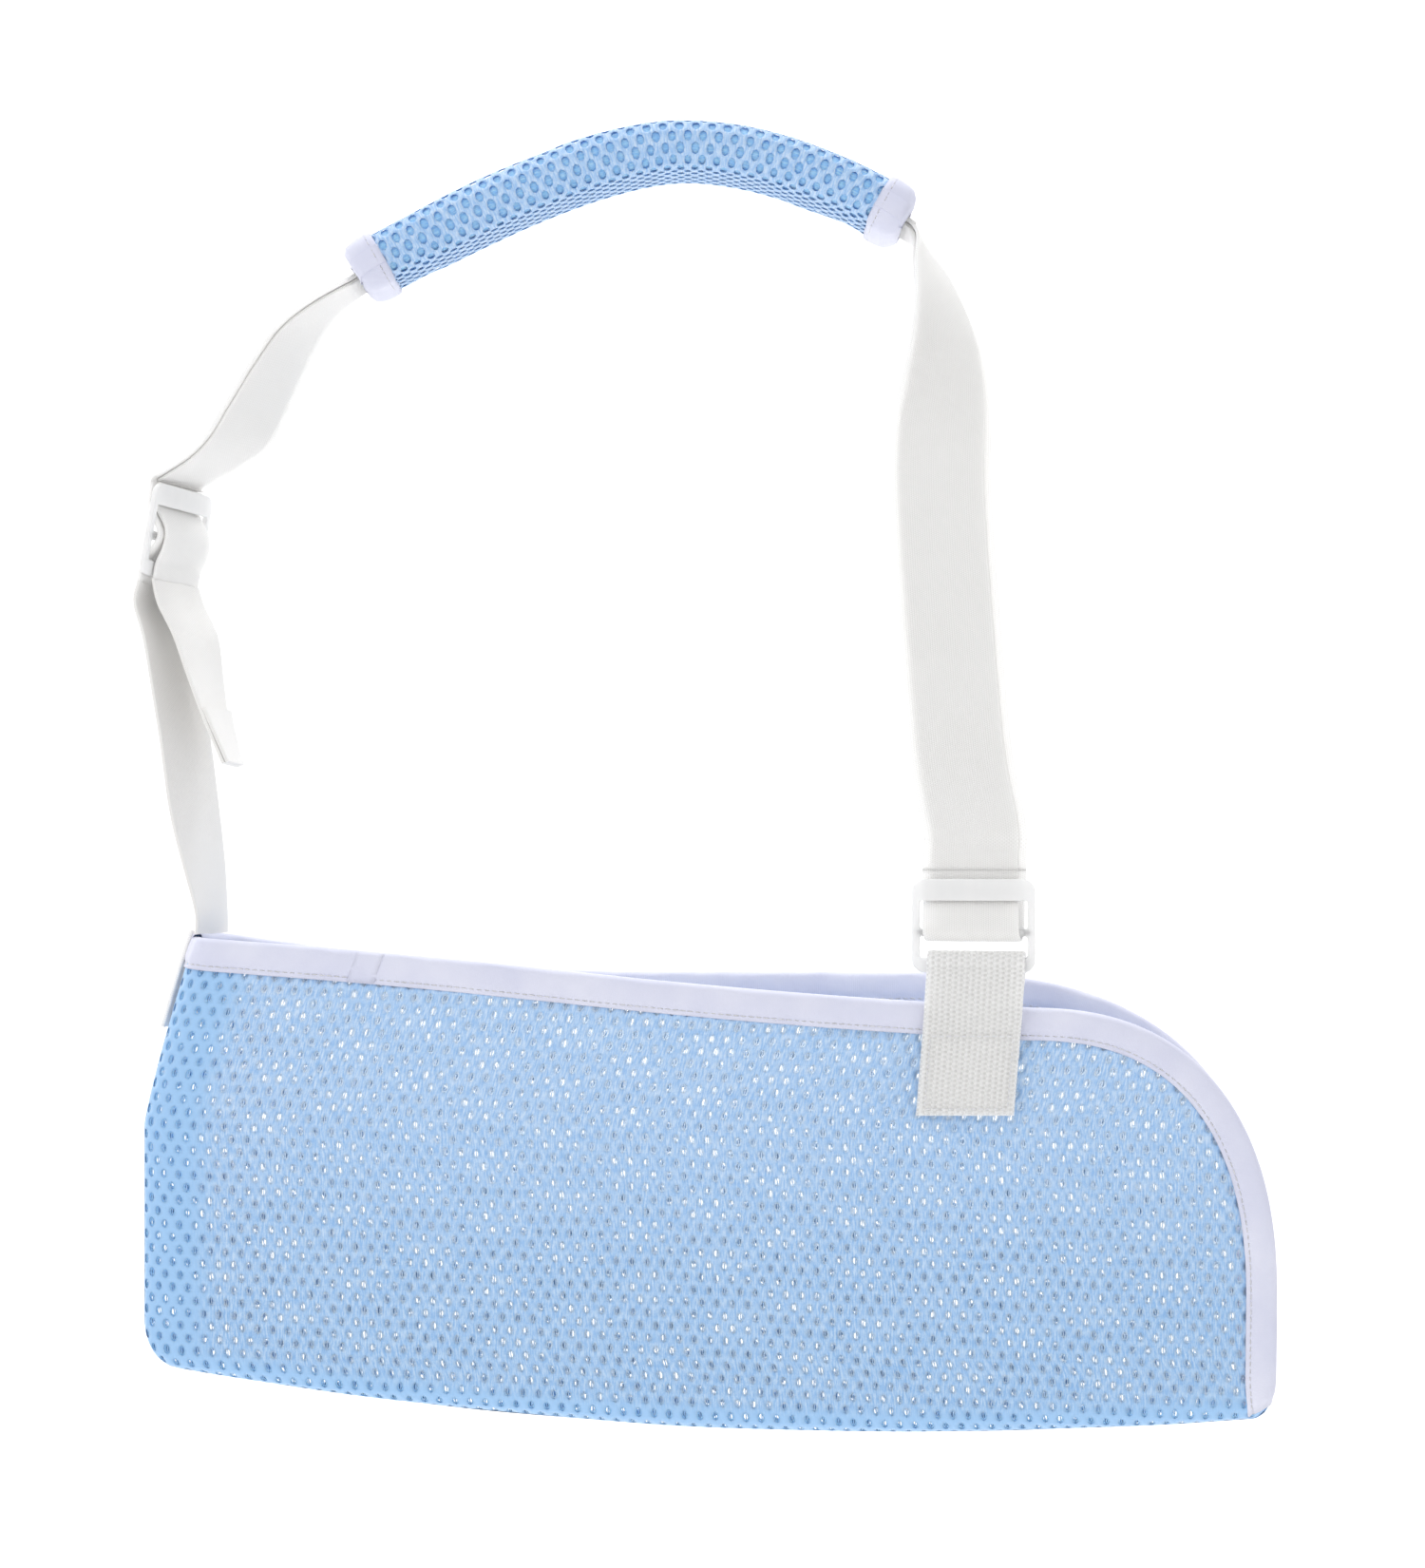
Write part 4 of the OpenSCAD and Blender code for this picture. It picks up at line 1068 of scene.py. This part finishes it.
def slider(name, at, lean, yaw, body, node):
    """A moulded three-bar slide: a rounded plate with two slots, and a round bar between them, tapered at
    its ends.
    """
    curve = bpy.data.curves.new(name, "CURVE")
    curve.dimensions = "2D"
    curve.fill_mode = "BOTH"
    curve.extrude = (SLIDER_T / 2 - BEVEL) * MM
    curve.bevel_depth = BEVEL * MM
    curve.bevel_resolution = 3
    slot_w = STRAP_W + 2 * LAYER_SHIFT + 1.4
    outlines = [rounded_box(SLIDER_W - 2 * BEVEL, SLIDER_H - 2 * BEVEL, 4.6)]
    for high, low in ((SLIDER_H / 2 - TOP_BAR_H, MIDDLE_BAR_Z + 1.5),
                      (MIDDLE_BAR_Z - 1.5, -SLIDER_H / 2 + BOTTOM_BAR_H)):
        outlines.append(rounded_box(slot_w + 2 * BEVEL, high - low + 2 * BEVEL, 1.6, (high + low) / 2)[::-1])
    for outline in outlines:
        spline = curve.splines.new("POLY")
        spline.points.add(len(outline) - 1)
        for p, (x, z) in zip(spline.points, outline):
            p.co = (x * MM, z * MM, 0, 1)
        spline.use_cyclic_u = True
    shape = add_object(name + "_outline", curve)
    mesh = evaluated_mesh(shape)
    bpy.data.objects.remove(shape)
    bm = bmesh.new()
    bm.from_mesh(mesh)
    bm.transform(Matrix.Rotation(math.radians(90), 4, "X"))
    half = slot_w / 2
    stops = [(-half - 1, 0.3), (-half - 1, 1.0), (-half + 0.6, 1.1), (-half + 2.0, MIDDLE_BAR_R)]
    stops += [(-x, r) for x, r in reversed(stops)]
    grid = [[bm.verts.new(Vector((x, r * math.cos(a), MIDDLE_BAR_Z + r * math.sin(a))) * MM)
             for a in np.linspace(0, 2 * math.pi, 28, endpoint=False)] for x, r in stops]
    for ring, following in zip(grid, grid[1:]):
        for k in range(28):
            bm.faces.new((ring[k], ring[(k + 1) % 28], following[(k + 1) % 28], following[k]))
    bm.faces.new(grid[0])
    bm.faces.new(grid[-1])
    bmesh.ops.remove_doubles(bm, verts=bm.verts, dist=1e-6)
    for v in bm.verts:
        v.co = Vector(placed(np.array(v.co) / MM, at, lean, yaw)) * MM
    bmesh.ops.recalc_face_normals(bm, faces=bm.faces)
    bm.to_mesh(mesh)
    bm.free()
    mesh.materials.clear()
    mesh.materials.append(nylon)
    mesh.polygons.foreach_set("use_smooth", [True] * len(mesh.polygons))
    mesh.set_sharp_from_angle(angle=math.radians(40))
    finish_piece(add_object(name, mesh), body, [node])


slider("front_slide", FRONT_AT, 0, FRONT_YAW, "front_buckle", "front_slider")
slider("rear_slide", REAR_AT, REAR_LEAN, REAR_YAW, "rear_buckle", "rear_slider")


def bend(centre, r, start, end, steps):
    """Points of an arc round centre, from one angle to another."""
    return [(centre[0] + r * math.cos(a), centre[1] + r * math.sin(a)) for a in
            np.radians(np.linspace(start, end, steps + 1))]


def set_over(profile, start, end):
    """Gives plain [depth, height] rows a sideways offset that changes evenly, and no turn."""
    return [[d, h, lerp(start, end, i / (len(profile) - 1)), 0] for i, (d, h) in enumerate(profile)]


fold = ([(NEAR_LAYER, REACH), (NEAR_LAYER, 12.4), (NEAR_LAYER - 0.2, 9.3), (-0.9, 3.6)]
        + bend((0, MIDDLE_BAR_Z), MIDDLE_BAR_R + BAR_GAP + STRAP_T / 2, 170, 370, 12)
        + [(FAR_LAYER - 0.3, 4.5), (FAR_LAYER, 9.5), (FAR_LAYER, 13), (FAR_LAYER, REACH)])
bent_webbing("strap_front_fold", set_over(fold, -LAYER_SHIFT, LAYER_SHIFT), FRONT_AT, 0, FRONT_YAW,
             strap_cloth, "front_buckle", ["strap_fold_at_front_slider"])
touch = -MIDDLE_BAR_R - BAR_GAP - STRAP_T / 2        # the layer in front of the middle bar
second = touch - STRAP_T - 0.2                       # and the one in front of that
to_elbow = [(FAR_LAYER, SHORT_REACH), (FAR_LAYER, 12), (FAR_LAYER - 0.5, 8.5), (touch + 1.6, 1.5),
            (touch, -1.6), (touch, -3.4), (touch + 1.2, -6.2), (1.6, -10.5), (2.5, -13), (2.6, -REACH)]
to_tail = [(NEAR_LAYER, SHORT_REACH), (NEAR_LAYER, 12.4), (NEAR_LAYER - 0.2, 9.4), (second + 1.4, 2.6),
           (second, -1.4), (second, -4), (second + 0.5, -8), (-2.6, -13), (-2.6, -19.5)]
for name, profile, shift, nodes in (
        ("strap_rear_pass_outer", to_elbow, -LAYER_SHIFT, ["strap_pass_at_rear_slider"]),
        ("strap_rear_pass_inner", to_tail, LAYER_SHIFT, [])):
    bent_webbing(name, set_over(profile, shift, shift), REAR_AT, REAR_LEAN, REAR_YAW, strap_cloth,
                 "rear_buckle", nodes)

# ---- tail
tail_top = placed([LAYER_SHIFT, -2.6, -19.5], REAR_AT, REAR_LEAN, REAR_YAW)
tail_run = smooth([
    [*tail_top, REAR_YAW], [-199.5, 7, -171.5, 69], [-193.5, 4.6, -184, 70], [-189.8, 3.2, -199, 75],
    [-186, 2.2, -214, 81], [-182.6, 1.6, -225, 85], [-178.6, 1, -236, 88]], ROUTE_STEPS)
webbing("strap_tail_end", tail_run, shaded_strap_cloth, ("rear_buckle", "tail", tail_run[0][:3], tail_run[14][:3]),
        ["strap_tail"])
HEM_ROWS = 17
webbing("strap_tail_fold", tail_run[-HEM_ROWS:], shaded_strap_cloth, "tail", ["strap_tail_hem"],
        lift=STRAP_T + 0.1, wobble=0)

# ---- loop
loop_r = math.hypot(SLIDER_T, BOTTOM_BAR_H) / 2 + 0.6 + LOOP_T / 2
loop_top = FRONT_AT + [0, 0, BOTTOM_BAR_Z]
LOOP_LAP = MESH_T / 2 + 0.6 + TAPE_T + 0.3      # how far off the panel's middle a sewn strap lies
LOOP_ASIDE_TOP, LOOP_ASIDE_FOOT = 1.2, -3.3
PLY_Z = (-330, -341, -352, -363, -374)


def loop_aside(z):
    """The loop hangs a little aslant: how far it lies to the right of the bar's middle."""
    return lerp(LOOP_ASIDE_TOP, LOOP_ASIDE_FOOT, (loop_top[2] - z) / (loop_top[2] - PLY_Z[-1]))


def loop_ply(layer):
    """The rows of one of the loop's two layers on the panel, from the rim down."""
    rows = []
    for k, z in enumerate(PLY_Z):
        rim = 1 if k == 0 else 0
        d = LOOP_LAP + 1.5 * rim + LOOP_T / 2 + layer * (LOOP_T + 0.2)
        s = FRONT_AT[0] + ELBOW_REACH + loop_aside(z)
        p = off_panel(FRONT, np.array([s]), np.array([float(z)]), np.array([d]))[0]
        rows.append([p[1] - loop_top[1], z - loop_top[2], loop_aside(z), FRONT_YAW / 2 * rim])
    return rows


over_bar = [[y, z, LOOP_ASIDE_TOP, FRONT_YAW] for y, z in bend((0, 0), loop_r, -20, 200, 14)]
bent_webbing("front_loop_webbing", loop_ply(0)[::-1] + over_bar + loop_ply(1), loop_top, 0, 0, loop_cloth,
             "pouch", ["front_loop"], LOOP_W, LOOP_T)


def loop_stitches():
    """A box of stitches round the part of the loop that lies on the panel."""
    off = LOOP_T / 2 + 0.25
    top, low = loop_ply(1)[1], loop_ply(1)[4]
    half = LOOP_W / 2 - 3

    def spot(x, t):
        depth, height, aside = (lerp(a, b, t) for a, b in zip(top[:3], low[:3]))
        return loop_top + np.array([x + aside, depth - off, height])

    def row(start, end):
        """Eleven stitches from one [x, t] to another."""
        return [(*(spot(*lerp(start, end, (k + part) / 11)) for part in (0.15, 0.85)), (0, -1, 0))
                for k in range(11)]

    ends = [stitch for t in (0.05, 0.92) for stitch in row(np.array([-half, t]), np.array([half, t]))]
    ends += [stitch for x in (-half, half) for stitch in row(np.array([x, 0.07]), np.array([x, 0.9]))]
    stitches("loop_stitches", ends, "pouch", 0.3, ["front_loop_stitching"])


loop_stitches()

# ---- elbow end of the strap


def elbow_wrap(k):
    """How far round the elbow edge a step k from 0 to 10 lies."""
    return 21 * (k / 10) ** 2.2


def strap_end():
    """The strap's end, laid flat outside the back panel's elbow corner."""
    s = elbow_wrap(np.linspace(1, 10, 30))
    top = np.minimum(-302.0, rim_z(BACK, s) + lerp(2.5, -1.5, clamp01(s / 10)))
    down = np.linspace(0, 1, 16)
    rows = [off_panel(BACK, s, lerp(-342.0, top, t), LOOP_LAP + STRAP_T / 2) for t in down]
    open_skin("strap_sewn_end", rows, strap_cloth, grid_uvs(np.arange(30) * 1.4, down * 40), STRAP_T,
              ["strap_end_on_elbow"])


strap_end()


def strap_end_stitches():
    """Three short rows of stitches across the strap's sewn end."""
    d = LOOP_LAP + STRAP_T + 0.1
    ends = []
    for z in (-311.0, -325.0, -338.0):
        for k in np.arange(4, 10, 0.5):
            s = elbow_wrap(np.array([k + 0.06, k + 0.44, k + 0.25, k + 0.25]))
            a, b, low, high = off_panel(BACK, s, z, np.array([d, d, d, d + 1]))
            ends.append((a, b, high - low))
    stitches("strap_end_stitches", ends, "pouch", 0.26, ["strap_end_stitching"])


strap_end_stitches()


def tape_joint():
    """Where the front rim's tape starts and ends: a short second layer folded over the first."""
    line, inward, t = rim_line(FRONT)
    at = int(np.argmin(np.abs(line[:, 0] - (ELBOW_REACH - 139))))
    part = slice(at, at + 5)
    rows = []
    for a, d in ((0.4, 2.1), (3.2, 2.55), (5.5, 2.8), (8.5, 2.75), (10.8, 2.4), (TAPE_W + 0.4, 1.9)):
        moved = line[part] + np.array([1.5 * a / TAPE_W, 0])
        rows.append(rim_spot(FRONT, moved, inward[part], TAPE_W - a, d))
    uvs = grid_uvs(t[part], np.arange(len(rows)) * 2.0)[..., ::-1]
    open_skin("tape_joint", rows, tape, uvs, 0.4)


tape_joint()
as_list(front_layers)
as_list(back_layers)
